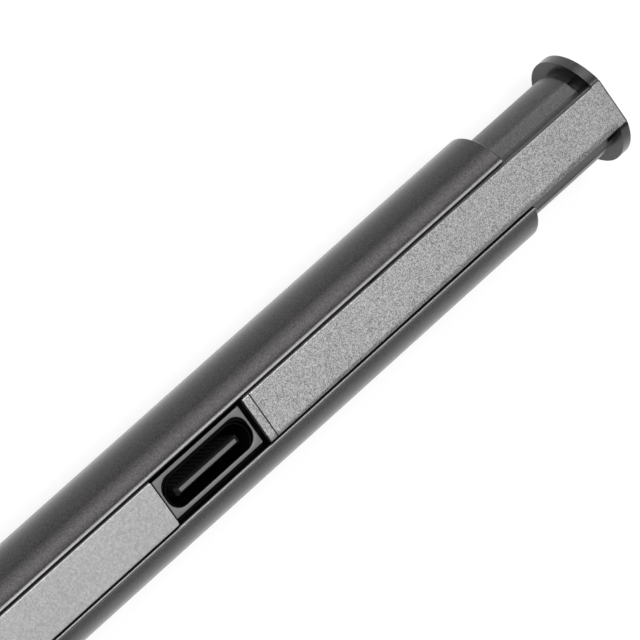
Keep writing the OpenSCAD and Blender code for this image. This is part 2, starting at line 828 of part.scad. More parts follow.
module slider_carrier() {
    skirt_low = bed_top - skirt_h;
    color([0.22, 0.22, 0.23]) pen_frame() difference() {
        union() {
            bar(plug_r, plug_front, plug_end);
            bar(neck_r, plug_front, flange_x);
            block(plug_front, flange_x, rail_y, 0, bed_top);
            block(arm_x, plug_front + plug_wall, rail_y, skirt_low, bed_top);
        }
        block(arm_x - over, plug_front, rail_y - skirt_t, skirt_low - over, web_low);
        bar(guide_r + guide_fit, plug_front - over, plug_front + plug_wall + over);
        bar(cavity_r, plug_front + plug_wall, flange_x + over);
        difference() {
            bar(bore_r, clip_x, clip_x + clip_w);
            bar(clip_r - clip_t - clip_fit, clip_x - over, clip_x + clip_w + over);
            block(clip_x - over, clip_x + clip_w + over, rail_y, 0, bore_r + over);
        }
        for (side = [-1, 1])
            cross_shape([
                [side * rail_y, foot_z], [side * flat_y, flat_z],
                [side * flat_y, plug_r], [side * rail_y, plug_r]
            ], plug_front - over, flange_x - flat_end);
    }
}

module slider_strip() {
    color("darkgray") pen_frame()
        block(lip_x + lip_len + lip_seam, flange_x + flange_t, strip_y, bed_top, strip_top);
}

module slider_lip() {
    color("darkgray") pen_frame() {
        block(lip_x, lip_x + lip_len, strip_y, bed_top, strip_top);
        block(lip_x, arm_x, strip_y, web_low, strip_top);
    }
}

// Spring clip round the plug, open at the top where the rail passes
module friction_clip() {
    color("lightgray") pen_frame() translate([clip_x + clip_fit, 0, 0]) rotate([0, 90, 0])
        rotate([0, 0, clip_open / 2 - 180]) rotate_extrude(angle = 360 - clip_open)
            translate([clip_r - clip_t, 0]) square([clip_t, clip_w - 2 * clip_fit]);
}

module end_flange() {
    end = flange_x + flange_t;
    color([0.2, 0.2, 0.21]) pen_frame() {
        bar(cavity_r - end_fit / 2, flange_x - flange_spigot, flange_x + flange_t / 2);
        difference() {
            turned([
                [flange_x, 0], [flange_x, flange_r - flange_bevel], [flange_x + flange_bevel, flange_r],
                [end - flange_bevel, flange_r], [end, flange_r - flange_bevel], [end, 0]
            ]);
            block(flange_x - over, end + over, barrel_r, flange_flat_z, barrel_r + over);
            block(flange_x - over, end + over, strip_y, bed_top, barrel_r + over);
        }
    }
}

barrel();
nose_cone();
nose_seal();
nib();
nib_plunger();
tilt_sleeve();
nib_spring();
force_sensor();
chassis();
main_board();
board_chips();
lower_switch();
upper_switch();
lower_button();
upper_button();
strip_bed();
nose_strip();
main_strip();
magnets();
battery();
battery_pads();
battery_tabs();
flex_cable();
port_board();
board_screws();
port_shell();
port_tongue();
port_contacts();
port_bezel();
bulkhead();
guide_screw();
slider_carrier();
slider_strip();
slider_lip();
friction_clip();
end_flange();
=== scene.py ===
"""Looks of a slim rechargeable stylus pen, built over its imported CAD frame.

Lengths in the classes are in millimetres. A place along the pen is measured from the nib's
point, an offset goes across the pen and a height is above the barrel's axis, so a piece is made
in the pen's own terms and moved into the frame when it is done.
"""

import json
import logging
import math
from collections.abc import Callable, Iterable, Sequence
from dataclasses import dataclass
from enum import Enum

import bmesh
import bpy
from mathutils import Matrix, Vector


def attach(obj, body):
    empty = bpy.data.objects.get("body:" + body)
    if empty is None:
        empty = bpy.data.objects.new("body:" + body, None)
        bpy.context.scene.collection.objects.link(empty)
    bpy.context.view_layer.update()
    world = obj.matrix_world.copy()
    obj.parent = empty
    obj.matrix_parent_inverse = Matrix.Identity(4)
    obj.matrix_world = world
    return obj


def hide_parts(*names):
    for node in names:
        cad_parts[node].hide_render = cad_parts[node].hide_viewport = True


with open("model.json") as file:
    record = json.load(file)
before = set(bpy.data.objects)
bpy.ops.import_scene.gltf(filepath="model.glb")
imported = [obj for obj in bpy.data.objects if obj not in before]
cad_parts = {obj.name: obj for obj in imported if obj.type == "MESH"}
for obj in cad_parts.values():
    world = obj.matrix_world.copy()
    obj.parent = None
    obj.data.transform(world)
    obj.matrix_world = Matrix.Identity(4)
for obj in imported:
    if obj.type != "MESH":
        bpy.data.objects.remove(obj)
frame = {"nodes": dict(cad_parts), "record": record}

LOG = logging.getLogger("stylus_pen")
MM = 0.001
MICRON = 1e-6
OPEN_LENGTH = 153.6
AXIS_HEIGHT = 4.75
# Heights of the strip's underside and of its face, on the barrel and on the slider.
STRIP_LOW = 4.12761
STRIP_TOP = 4.32761

# Turns between faces, in radians, from which an edge is shaded as sharp, and from which it is rounded.
SHARP_FROM = math.radians(38)
ROUNDED_FROM = math.radians(35)
# How far apart, in millimetres, two points may lie that still count as level with each other.
LEVEL_WITHIN = 1e-6
# Steps round a corner in plan, and round each end of an oblong, a multiple of four.
CORNER_STEPS = 5
END_STEPS = 24
# Width of the patches that handling leaves, in millimetres.
SMUDGE_MM = 6.0
# Spans of pattern values that are spread: of a grain, of smudges, of dents, and over a track's edge.
GRAIN_SPAN = (0.25, 0.75)
SMUDGE_SPAN = (0.3, 0.7)
DENT_SPAN = (0.0, 1.0)
TRACK_EDGE = (0.62, 0.72)
# How many finer layers a noise has, for a plain grain and for whatever looks finer.
PLAIN_DETAIL = 2.0
FINE_DETAIL = 3.0
# The grit between dents: its share of the height, and its width as a share of a dent's.
GRIT_SHARE = 0.6
GRIT_WIDTH = 0.7
# What scales the wave texture so that its bands lie two track widths apart, and how they wander.
WAVE_SCALE = 0.159
WAVE_BEND = 1.5

Pair = tuple[float, float]
Point = tuple[float, float, float]
Level = tuple[float, Sequence[Pair]]
Row = list[bmesh.types.BMVert]
Tree = bpy.types.NodeTree
Socket = bpy.types.NodeSocket


def linear(code: str) -> tuple[float, float, float, float]:
    """Turns an sRGB hex colour to linear light.

    Args:
        code: The colour as "#rrggbb".

    Returns:
        Linear red, green, blue and an alpha of 1.
    """
    parts = [int(code[i : i + 2], 16) / 255 for i in (1, 3, 5)]
    red, green, blue = (
        c / 12.92 if c <= 0.04045 else ((c + 0.055) / 1.055) ** 2.4 for c in parts
    )
    return (red, green, blue, 1.0)


def empty_tree(owner: bpy.types.Material | bpy.types.World) -> Tree:
    """Gives a new material or world an empty node tree.

    Args:
        owner: The material or world.

    Returns:
        Its node tree.
    """
    owner.use_nodes = True
    owner.node_tree.nodes.clear()
    return owner.node_tree


def add_node(
    tree: Tree,
    kind: str,
    inputs: dict[str | int, object] | None = None,
    output: str | int = 0,
    **settings: object,
) -> Socket | None:
    """Adds a shader node with its settings and links.

    Args:
        tree: The node tree that gets the node.
        kind: The node's type without its "ShaderNode".
        inputs: What each socket gets, a value or another node's output.
        output: Which of the node's outputs is wanted.
        settings: The node's own properties.

    Returns:
        That output, or None from a node without any.
    """
    node = tree.nodes.new("ShaderNode" + kind)
    for name, value in settings.items():
        setattr(node, name, value)
    for name, value in (inputs or {}).items():
        if isinstance(value, Socket):
            tree.links.new(value, node.inputs[name])
        else:
            node.inputs[name].default_value = value
    return node.outputs[output] if node.outputs else None


def per_metre(width_mm: float) -> float:
    """Gives a pattern's scale, so that one of its cells is width_mm wide."""
    return 1 / (width_mm * MM)


def noise(tree: Tree, place: Socket, width_mm: float, detail: float) -> Socket:
    """Draws a noise by a place in metres, its cells width_mm wide."""
    inputs = {"Vector": place, "Scale": per_metre(width_mm), "Detail": detail}
    return add_node(tree, "TexNoise", inputs)


def cells(tree: Tree, place: Socket, width_mm: float, output: str, feature: str = "F1") -> Socket:
    """Draws round cells by a place in metres, width_mm wide."""
    inputs = {"Vector": place, "Scale": per_metre(width_mm)}
    return add_node(tree, "TexVoronoi", inputs, output, feature=feature)


def spread(tree: Tree, value: Socket, span: Pair, wanted: Pair = (0.0, 1.0)) -> Socket:
    """Brings a value's span to the wanted span and holds it there."""
    ends = {"From Min": span[0], "From Max": span[1], "To Min": wanted[0], "To Max": wanted[1]}
    return add_node(tree, "MapRange", {"Value": value, **ends})


class Slot(Enum):
    """The record's material slots."""

    BARREL = "anodised_dark"
    STRIP = "strip_metal"
    NOSE = "nose_plastic"
    SEAL = "seal_rubber"
    NIB = "nib_plastic"
    BRASS = "turned_brass"
    STEEL = "spring_steel"
    SENSOR = "sensor_case"
    INNER = "inner_plastic"
    BOARD = "circuit_board"
    CHIP = "chip_resin"
    SWITCH = "switch_body"
    MAGNET = "plated_magnet"
    BATTERY = "battery_can"
    FOAM = "foam_pad"
    FLEX = "flex_film"
    SHELL = "port_steel"
    TONGUE = "port_plastic"
    GOLD = "gold_plate"
    BEZEL = "bezel_plastic"
    SLIDER = "slider_plastic"
    FLANGE = "flange_finish"


@dataclass(frozen=True)
class Finish:
    """A real surface: what it is made of, and how it was made.

    Attributes:
        name: The material's common name and process.
        colour: sRGB hex colour of the surface.
        roughness: How much it spreads a reflection.
        metallic: 1 for bare or anodised metal, less for metallic paint, 0 for the rest.
        ior: Index of refraction of what isn't metal.
        coat: Share of a clear layer over it, such as sealed oxide or lacquer.
        coat_roughness: How much that layer spreads a reflection.
        grain_mm: Width of one grain of its texture.
        grain_um: Height of that grain, in thousandths of a millimetre.
        mottle: Share by which the grain lightens and darkens the colour; on a BlastedMetal it is the
            strength of a painted sparkle.
        smudge: How far handling changes the roughness, up and down.
    """

    name: str
    colour: str
    roughness: float = 0.5
    metallic: float = 0.0
    ior: float = 1.5
    coat: float = 0.0
    coat_roughness: float = 0.3
    grain_mm: float = 0.12
    grain_um: float = 2.0
    mottle: float = 0.06
    smudge: float = 0.04

    def material(self) -> bpy.types.Material:
        """Gives the finish's material, which is built the first time.

        Returns:
            The material.
        """
        found = bpy.data.materials.get(self.name)
        if found:
            return found
        material = bpy.data.materials.new(self.name)
        tree = empty_tree(material)
        place = add_node(tree, "TexCoord", output="Object")
        pattern = self.pattern(tree, place)
        patches = noise(tree, place, SMUDGE_MM, FINE_DETAIL)
        worn = (self.roughness - self.smudge, self.roughness + self.smudge)
        height = {"Height": pattern, "Distance": self.grain_um * MICRON, "Strength": 1.0}
        bump = add_node(tree, "Bump", height)
        inputs = {
            "Base Color": self.tint(tree, place, pattern),
            "Metallic": self.metallic,
            "Roughness": spread(tree, patches, SMUDGE_SPAN, worn),
            "IOR": self.ior,
            "Coat Weight": self.coat,
            "Coat Roughness": self.coat_roughness,
            "Normal": bump,
            "Coat Normal": bump,
        }
        add_node(tree, "OutputMaterial", {"Surface": add_node(tree, "BsdfPrincipled", inputs)})
        return material

    def pattern(self, tree: Tree, place: Socket) -> Socket:
        """Draws the height, from 0 to 1, of an eroded mould's fine, even grain or a plain skin."""
        return noise(tree, place, self.grain_mm, PLAIN_DETAIL)

    def tint(self, tree: Tree, place: Socket, pattern: Socket) -> Socket:
        """Lightens and darkens the colour with the pattern."""
        return self.shaded(tree, pattern, GRAIN_SPAN)

    def shaded(self, tree: Tree, pattern: Socket, span: Pair) -> Socket:
        """Multiplies the colour by a level that a pattern spreads about 1, as far as the mottle."""
        level = spread(tree, pattern, span, (1 - self.mottle, 1 + self.mottle))
        return add_node(tree, "VectorMath", {0: linear(self.colour)[:3], 1: level}, operation="MULTIPLY")


@dataclass(frozen=True)
class BlastedMetal(Finish):
    """Aluminium blasted with glass beads and then anodised: small dents that sparkle through their bumps,
    with a painted sparkle of lighter and darker dents.

    Attributes:
        metallic: As in Finish, here for bare metal.
    """

    metallic: float = 1.0

    def pattern(self, tree: Tree, place: Socket) -> Socket:
        """Lays dents of one bead's size over a finer grit.

        Args:
            tree: The material's node tree.
            place: Where on the piece a point lies, in metres.

        Returns:
            The pattern's height, from 0 to 1.
        """
        dents = cells(tree, place, self.grain_mm, "Distance")
        grit = noise(tree, place, self.grain_mm * GRIT_WIDTH, FINE_DETAIL)
        inputs = {"Factor": GRIT_SHARE, "A": dents, "B": grit}
        return add_node(tree, "Mix", inputs, data_type="FLOAT")

    def tint(self, tree: Tree, place: Socket, pattern: Socket) -> Socket:
        """Paints each dent its own level, a painted sparkle standing in for dents that tilt to or from the
        light.
        """
        return self.shaded(tree, cells(tree, place, self.grain_mm, "Color"), DENT_SPAN)


@dataclass(frozen=True)
class LinedMetal(Finish):
    """Metal with fine parallel lines from a cutter, a lathe or a drawing die.

    Attributes:
        metallic: As in Finish, here for bare metal.
        spacing: How far apart the lines lie along, across and up, in millimetres.
    """

    metallic: float = 1.0
    spacing: Point = (4.0, 0.05, 0.05)

    def pattern(self, tree: Tree, place: Socket) -> Socket:
        """Stretches a noise along the lines."""
        lines = add_node(tree, "Mapping", {"Vector": place, "Scale": [per_metre(s) for s in self.spacing]})
        return add_node(tree, "TexNoise", {"Vector": lines, "Scale": 1.0, "Detail": FINE_DETAIL})


@dataclass(frozen=True)
class TrackedFilm(Finish):
    """A board or film with copper tracks that show through its skin.

    Attributes:
        track_colour: sRGB hex colour over a track.
        track_mm: Width of a track and of the gap beside it.
    """

    track_colour: str = "#1f6b41"
    track_mm: float = 0.6

    def tint(self, tree: Tree, place: Socket, pattern: Socket) -> Socket:
        """Mixes the track's colour in along wandering bands.

        Args:
            tree: The material's node tree.
            place: Where on the piece a point lies, in metres.
            pattern: The grain's height; not used, as the tracks don't follow it.

        Returns:
            The surface's colour.
        """
        scale = per_metre(self.track_mm) * WAVE_SCALE
        wave = {"Vector": place, "Scale": scale, "Distortion": WAVE_BEND, "Detail": 0.0}
        bands = add_node(tree, "TexWave", wave, "Fac", bands_direction="Y")
        edge = spread(tree, bands, TRACK_EDGE)
        mixed = {0: edge, 6: linear(self.colour), 7: linear(self.track_colour)}
        return add_node(tree, "Mix", mixed, 2, data_type="RGBA")


@dataclass(frozen=True)
class CellFoam(Finish):
    """Closed-cell foam: round cells that show at a cut face."""

    def pattern(self, tree: Tree, place: Socket) -> Socket:
        """Draws the cells."""
        return cells(tree, place, self.grain_mm, "Distance", "SMOOTH_F1")


# Dark anodised tube, blasted before it was dyed: a soft sheen under sealed oxide, which pales to the edge,
# made grainy by bumps and a painted sparkle on the dents.
# The beads' dents are really 0.05 mm wide and are drawn at 0.075 mm, to show.
ANODISED_TUBE = BlastedMetal(
    "aluminium_dark_anodised_blasted", "#323030", roughness=0.28, coat=0.7, coat_roughness=0.26,
    grain_mm=0.075, grain_um=1.6, mottle=0.8, smudge=0.02,
)
# The bright line along the channel: a cutter took the dye off again and left it smooth.
CUT_EDGE = LinedMetal(
    "aluminium_bright_cut_edge", "#868585", roughness=0.4, grain_um=0.3, mottle=0.04, smudge=0.03
)
# The fixed strip: as the slider's, but much fainter. Its dents are really 0.05 mm wide and are
# drawn at 0.13 mm, so that they run together.
FINE_STRIP = BlastedMetal(
    "aluminium_silver_anodised_fine", "#b2b2b2", roughness=0.42, grain_mm=0.13, grain_um=3.0,
    mottle=0.2, smudge=0.02,
)
# Near-black finish with a weak reflection on the bezel's faces below its grey face: painted shade along
# the channel's gap and down into the hole.
BEZEL_PAINTED_SHADE = Finish("polycarbonate_bezel_painted_shade", "#070707", roughness=0.6, ior=1.12)
# The tongue's tip face: the tongue's own polymer painted pale, as a painted highlight between its black
# bevels.
TONGUE_TIP_HIGHLIGHT = Finish("lcp_tongue_tip_painted_highlight", "#626263", roughness=0.4, ior=1.6, grain_um=1.0)

FINISHES: dict[Slot, Finish] = {
    Slot.BARREL: ANODISED_TUBE,
    # Natural anodised strip, blasted coarser than the tube: pale, with a hard sparkle from its bumps and a
    # painted sparkle on its dents.
    Slot.STRIP: BlastedMetal(
        "aluminium_silver_anodised_blasted", "#acacac", roughness=0.42, grain_mm=0.052,
        grain_um=4.0, mottle=0.85, smudge=0.02,
    ),
    # Moulded polyamide nose: near black, with the even matt of an eroded mould.
    Slot.NOSE: Finish("polyamide_black_moulded", "#1b1b1c", roughness=0.5, ior=1.53, grain_um=3.0),
    # Nitrile rubber ring: black, dull and a little mottled by its talc.
    Slot.SEAL: Finish("nitrile_rubber_moulded", "#121212", roughness=0.7, ior=1.52, mottle=0.2),
    # Acetal nib: smooth and waxy, so its highlight is soft.
    Slot.NIB: Finish("acetal_dark_moulded", "#242527", roughness=0.38, ior=1.48, grain_um=0.8),
    # Turned brass: warm, with the lathe's rings round it.
    Slot.BRASS: LinedMetal("brass_turned", "#cba35c", roughness=0.28, spacing=(0.06, 5.0, 5.0)),
    # Drawn stainless wire, clips and screws: bright, lined along its length.
    Slot.STEEL: LinedMetal("stainless_steel_drawn", "#bcbcbb", roughness=0.25, grain_um=0.6),
    # Liquid-crystal polymer sensor case: dull grey-green with a fine grain.
    Slot.SENSOR: Finish("lcp_sensor_moulded", "#31383a", roughness=0.5, ior=1.6),
    # Glass-filled polyamide inner frames: black, dull, with fibres that rise at the skin.
    Slot.INNER: Finish(
        "polyamide_glass_filled_moulded", "#161617", roughness=0.55, ior=1.55, grain_um=5.0,
        mottle=0.15,
    ),
    # Glass-epoxy board under green solder resist: glossy, tracks paler.
    Slot.BOARD: TrackedFilm(
        "glass_epoxy_green_resist", "#10452a", roughness=0.3, ior=1.55, grain_um=0.8
    ),
    # Moulded epoxy chip packages: charcoal, faintly gritty.
    Slot.CHIP: Finish("epoxy_chip_moulded", "#1d1d1f", roughness=0.6, ior=1.55),
    # Polyamide switch body: off-white and plain.
    Slot.SWITCH: Finish("polyamide_white_moulded", "#cfcfc8", roughness=0.45, ior=1.53),
    # Nickel on sintered magnet: bright but orange-peeled.
    Slot.MAGNET: Finish(
        "nickel_plated_magnet", "#b9b7b2", roughness=0.24, metallic=1.0, grain_mm=0.4,
        grain_um=4.0, mottle=0.02,
    ),
    # PVC sleeve shrunk on the cell: blue, soft gloss with slow ripples.
    Slot.BATTERY: Finish(
        "pvc_sleeve_shrunk", "#5c7fa6", roughness=0.33, ior=1.53, grain_mm=1.5, grain_um=20.0
    ),
    # Polyurethane foam pad: dull beige with open cells at its cut face.
    Slot.FOAM: CellFoam(
        "polyurethane_foam_cut", "#7c766a", roughness=0.9, ior=1.45, grain_mm=0.25, grain_um=60.0
    ),
    # Polyimide film: amber over copper tracks, glossy.
    Slot.FLEX: TrackedFilm(
        "polyimide_film_laminated", "#a2560f", roughness=0.25, ior=1.7, grain_um=0.6,
        track_colour="#c98433", track_mm=0.3,
    ),
    # Drawn steel shell, given a near-black colour and a weak reflection as painted shade, so that it stays
    # black even where the light reaches its rim.
    Slot.SHELL: LinedMetal(
        "steel_drawn_shell_painted_shade", "#0a0a0b", roughness=0.5, metallic=0.0, ior=1.12,
        grain_um=0.5, spacing=(0.08, 0.08, 3.0),
    ),
    # Liquid-crystal polymer tongue: black, satin.
    Slot.TONGUE: Finish("lcp_tongue_moulded", "#1f1f21", roughness=0.55, ior=1.2, grain_um=1.0),
    # Thin gold over nickel on the contacts, darkened to a greyish yellow as painted shade deep in the
    # port.
    Slot.GOLD: Finish("gold_contact_painted_shade", "#7f7a70", roughness=0.45, metallic=1.0, grain_um=0.4),
    # Painted polycarbonate bezel: grey, fine satin.
    Slot.BEZEL: Finish(
        "polycarbonate_grey_painted", "#6c6b6b", roughness=0.4, ior=1.58, grain_um=1.5
    ),
    # Polycarbonate slider in dark metallic paint: a low sheen that pales to the edge, speckled with a
    # painted sparkle on its flakes.
    # The paint's flakes are really 0.03 mm wide and are drawn at 0.08 mm, to show.
    Slot.SLIDER: BlastedMetal(
        "polycarbonate_dark_metallic_paint", "#3a3939", roughness=0.42, metallic=0.85, ior=1.58,
        coat=0.6, grain_mm=0.08, mottle=0.7,
    ),
    # The same paint on the flange, darker and a touch glossier where hands polish it.
    Slot.FLANGE: Finish(
        "polycarbonate_dark_paint_polished", "#2b2b2b", roughness=0.35, metallic=0.8, ior=1.58,
        coat=0.6, coat_roughness=0.25, grain_um=1.0,
    ),
}


class PieceMesh:
    """A piece's mesh while it is made, in the pen's millimetres."""

    def __init__(self) -> None:
        """Starts an empty mesh."""
        self.mesh = bmesh.new()

    def row(self, points: Iterable[Point]) -> Row:
        """Adds one point after another and gives them back as a row."""
        return [self.mesh.verts.new(p) for p in points]

    def face(self, corners: Row, finish: int = 0) -> None:
        """Adds a face with these corners, in one of the piece's finishes."""
        self.mesh.faces.new(corners).material_index = finish

    def skin(self, first: Row, second: Row, ring: bool = True, finish: int = 0) -> None:
        """Spans the space between two rows, either of which may be a single point.

        Args:
            first: One row.
            second: The other row.
            ring: Whether the rows close on themselves.
            finish: Which of the piece's finishes the faces have.
        """
        count = max(len(first), len(second))
        for i in range(count if ring else count - 1):
            j = (i + 1) % count
            a = [first[i], first[j]] if len(first) > 1 else [first[0]]
            b = [second[j], second[i]] if len(second) > 1 else [second[0]]
            self.face(a + b, finish)

    def loft(self, rows: Sequence[Row], closed: bool) -> None:
        """Spans rings one after another.

        Args:
            rows: The rings.
            closed: True joins the last to the first; otherwise both get a flat end.
        """
        for first, second in zip(rows, rows[1:]):
            self.skin(first, second)
        if closed:
            self.skin(rows[-1], rows[0])
            return
        for end in (rows[0], rows[-1]):
            if len(end) > 1:
                self.face(end)

    def span(self, sections: Iterable[Level], closed: bool = False) -> None:
        """Spans sections along the pen: places, each with its offsets and heights."""
        self.loft([self.row((x, y, h) for y, h in section) for x, section in sections], closed)

    def stack(self, levels: Iterable[Level], closed: bool = False) -> None:
        """Spans plans one over another: heights, each with its places and offsets."""
        self.loft([self.row((x, y, h) for x, y in plan) for h, plan in levels], closed)

    def turned(self, profile: Sequence[Pair], sides: int = 96, closed: bool = False) -> None:
        """Turns a profile of places and radii about the pen's axis, which a radius of 0 meets."""
        rounds = ((x, arc(r, 0, 360, sides)[:-1] if r > 0 else [(0, 0)]) for x, r in profile)
        self.span(rounds, closed)

    def round_edges(self, width: float, where: Callable[[bmesh.types.BMEdge], bool]) -> None:
        """Rounds the sharp edges of a part.

        Args:
            width: How far each rounding reaches from its edge.
            where: Picks the edges.
        """
        bmesh.ops.recalc_face_normals(self.mesh, faces=self.mesh.faces)
        sharp = [
            e
            for e in self.mesh.edges
            if len(e.link_faces) == 2 and e.calc_face_angle(0) > ROUNDED_FROM and where(e)
        ]
        bmesh.ops.bevel(
            self.mesh, geom=sharp, offset=width, offset_type="OFFSET", segments=3, profile=0.5,
            affect="EDGES", clamp_overlap=True,
        )

    def finish(
        self, name: str, body: str, slot: Slot, nodes: Sequence[str], finishes: Sequence[Finish] = ()
    ) -> None:
        """Moves the piece into the frame, dresses it and lets it ride.

        Args:
            name: The piece's name.
            body: The CAD body that it moves with.
            slot: The record's slot that its main finish belongs to.
            nodes: The CAD nodes that it stands for.
            finishes: Its finishes, as the faces number them; the slot's own when not given.
        """
        bmesh.ops.recalc_face_normals(self.mesh, faces=self.mesh.faces)
        place = Matrix.Translation((-OPEN_LENGTH / 2 * MM, 0, AXIS_HEIGHT * MM))
        self.mesh.transform(place @ Matrix.Scale(MM, 4))
        data = bpy.data.meshes.new(name)
        self.mesh.to_mesh(data)
        self.mesh.free()
        data.shade_smooth()
        data.set_sharp_from_angle(angle=SHARP_FROM)
        for finish in finishes or (FINISHES[slot],):
            data.materials.append(finish.material())
        piece = add_object(name, data)
        normals = piece.modifiers.new("even_shading", "WEIGHTED_NORMAL")
        normals.keep_sharp = True
        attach(piece, body)
        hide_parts(*nodes)
        LOG.info("%s: %d faces, on %s", name, len(data.polygons), body)


def add_object(name: str, data: bpy.types.ID) -> bpy.types.Object:
    """Adds an object to the scene.

    Args:
        name: Its name.
        data: Its mesh, lamp or camera.

    Returns:
        The object.
    """
    added = bpy.data.objects.new(name, data)
    bpy.context.scene.collection.objects.link(added)
    return added


def facing(right: Vector, back: Vector, place: Vector) -> Matrix:
    """Gives the matrix of a lamp or camera at a place, in metres, from two of its axes."""
    axes = Matrix((right, back.cross(right), back)).transposed()
    return Matrix.Translation(place) @ axes.to_4x4()


def arc(radius: float, start: float, end: float, steps: int) -> list[Pair]:
    """Gives offsets and heights round the axis, by degrees from the top to the plus side."""
    angles = [math.radians(start + (end - start) * i / steps) for i in range(steps + 1)]
    return [(radius * math.sin(a), radius * math.cos(a)) for a in angles]


def quarter_round(radius: float, steps: int = 5) -> list[Pair]:
    """Gives a rounded rim's distances from the end face and the side, from the side on."""
    angles = [math.radians(90 * i / steps) for i in range(steps + 1)]
    return [(radius * (1 - math.sin(a)), radius * (1 - math.cos(a))) for a in angles]


def rounded_plan(start: float, end: float, half: float, corner: float) -> list[Pair]:
    """Gives a rectangle along the pen with rounded corners.

    Args:
        start: Place of its front end.
        end: Place of its back end.
        half: Half its width.
        corner: Radius of its corners.

    Returns:
        Places and offsets.
    """
    front, back, side = start + corner, end - corner, half - corner
    points = []
    for turn, (x, y) in enumerate([(back, side), (front, side), (front, -side), (back, -side)]):
        for i in range(CORNER_STEPS + 1):
            angle = math.radians(90 * (turn + i / CORNER_STEPS))
            points.append((x + corner * math.cos(angle), y + corner * math.sin(angle)))
    return points


@dataclass
class Barrel:
    """The slotted tube, with the bright cut along both edges of its channel.

    Attributes:
        front: Place of its front rim.
        tail: Place of its tail rim.
        last_part: Length of the part at the tail that has faces of its own.
        channel_front: Place where the channel starts.
        radius: Outer radius.
        bore: Radius of the bore.
        channel: Offset of the channel's wall on its plus side and on its minus side.
        cut: Width of the bright cut, with the rounding of its inner edge.
        cut_lean: How far its face still leans outwards there, in degrees.
        cut_edge: Radius of that rounding on the plus side and on the minus side.
        rim: Radius of the rounding of both rims.
        sides: Flat sides round the slotted part.
        slot_sides: Flat sides over the channel's width in the closed ring.
    """

    front: float = 20.0
    tail: float = 143.045
    last_part: float = 30.0
    channel_front: float = 26.0
    radius: float = 4.75
    bore: float = 3.85
    channel: Pair = (2.135, 2.155)
    cut: float = 0.29
    cut_lean: float = 12.0
    cut_edge: Pair = (0.1, 0.15)
    rim: float = 0.15
    sides: int = 150
    slot_sides: int = 24

    def bright_cut(self, side: int, radius: float) -> list[Pair]:
        """Gives the cut along one edge of the channel.

        Args:
            side: 0 for the plus side, 1 for the minus side.
            radius: The tube's outer radius there.

        Returns:
            Offsets and heights from its outer edge down to the channel's wall.
        """
        y, soft = self.channel[side] + self.cut, self.cut_edge[side]
        start, end = math.asin(y / radius), math.radians(self.cut_lean)
        height = radius * math.cos(start)
        face_steps, soft_steps = 5, 6
        step = (self.cut - soft * (1 + math.sin(end))) / face_steps
        points = []
        for i in range(face_steps):
            y -= step
            height += step * math.tan(start + (end - start) * (i + 0.5) / face_steps)
            points.append((y, height))
        y -= soft * math.sin(end)
        height -= soft * math.cos(end)
        for i in range(1, soft_steps + 1):
            turn = end - (math.pi / 2 + end) * i / soft_steps
            points.append((y + soft * math.sin(turn), height + soft * math.cos(turn)))
        return points

    def mouth(self, radius: float, cut: float = 0.0) -> Pair:
        """Gives the angles from the top to both sides of the channel at a radius, past a cut."""
        plus, minus = (math.degrees(math.asin((wall + cut) / radius)) for wall in self.channel)
        return plus, minus

    def bridge(self, radius: float, cut: float = 0.0) -> list[Pair]:
        """Gives the points over the channel's mouth that close a round, past a cut."""
        plus, minus = self.mouth(radius, cut)
        return arc(radius, -minus, plus, self.slot_sides)[1:-1]

    def slotted(self, radius: float) -> tuple[list[Pair], ...]:
        """Gives the tube's section across the channel.

        Args:
            radius: The outer radius there, which is less at a rounded rim.

        Returns:
            The outer round, the bore, and the bright cut on the plus side and on the minus side.
        """
        plus, minus = self.mouth(radius, self.cut)
        bore_plus, bore_minus = self.mouth(self.bore)
        return (
            arc(radius, plus, 360 - minus, self.sides),
            arc(self.bore, bore_plus, 360 - bore_minus, self.sides),
            self.bright_cut(0, radius),
            [(-y, h) for y, h in self.bright_cut(1, radius)],
        )

    def build(self) -> None:
        """Skins the closed ring, the slotted part and both rims."""
        tube = PieceMesh()
        rim = quarter_round(self.rim)
        stations = [(x, self.radius) for x in (self.channel_front, self.tail - self.last_part)]
        stations += [(self.tail - back, self.radius - inward) for back, inward in rim]
        rows = []
        for place, radius in stations:
            sections = self.slotted(radius)
            rows.append([tube.row((place, y, h) for y, h in part) for part in sections])
        for (outer, inner, *cuts), (outer_2, inner_2, *cuts_2) in zip(rows, rows[1:]):
            tube.skin(outer, outer_2, ring=False)
            tube.skin(inner, inner_2, ring=False)
            for end, cut, cut_2 in zip((0, -1), cuts, cuts_2):
                tube.skin([outer[end], *cut], [outer_2[end], *cut_2], ring=False, finish=1)
                tube.face([cut[-1], cut_2[-1], inner_2[end], inner[end]])
        outer, inner, *cuts = rows[-1]
        tube.skin(outer, inner, ring=False)
        for end, cut in zip((0, -1), cuts):
            tube.face([outer[end], *cut, inner[end]])
        self.close_front(tube, rows[0])
        tube.finish("slotted_tube", "pen", Slot.BARREL, ["barrel"], [ANODISED_TUBE, CUT_EDGE])

    def close_front(self, tube: PieceMesh, joint: list[Row]) -> None:
        """Adds the closed ring ahead of the channel, and the channel's end wall.

        Args:
            tube: The mesh so far.
            joint: The slotted part's first section.
        """
        outer, inner, plus, minus = joint
        over, under = (
            tube.row((self.channel_front, y, h) for y, h in bridge)
            for bridge in (self.bridge(self.radius, self.cut), self.bridge(self.bore))
        )
        wall = [outer[-1], *over, outer[0], *plus, inner[0], *reversed(under), inner[-1]]
        tube.face(wall + minus[::-1])
        outer_ring, inner_ring = outer + over, inner + under
        ring = outer_ring
        for back, inward in quarter_round(self.rim):
            shrink, place = 1 - inward / self.radius, self.front + back
            last = ring
            ring = tube.row((place, v.co.y * shrink, v.co.z * shrink) for v in outer_ring)
            tube.skin(last, ring)
        front_bore = tube.row((self.front, v.co.y, v.co.z) for v in inner_ring)
        tube.skin(inner_ring, front_bore)
        tube.skin(ring, front_bore)


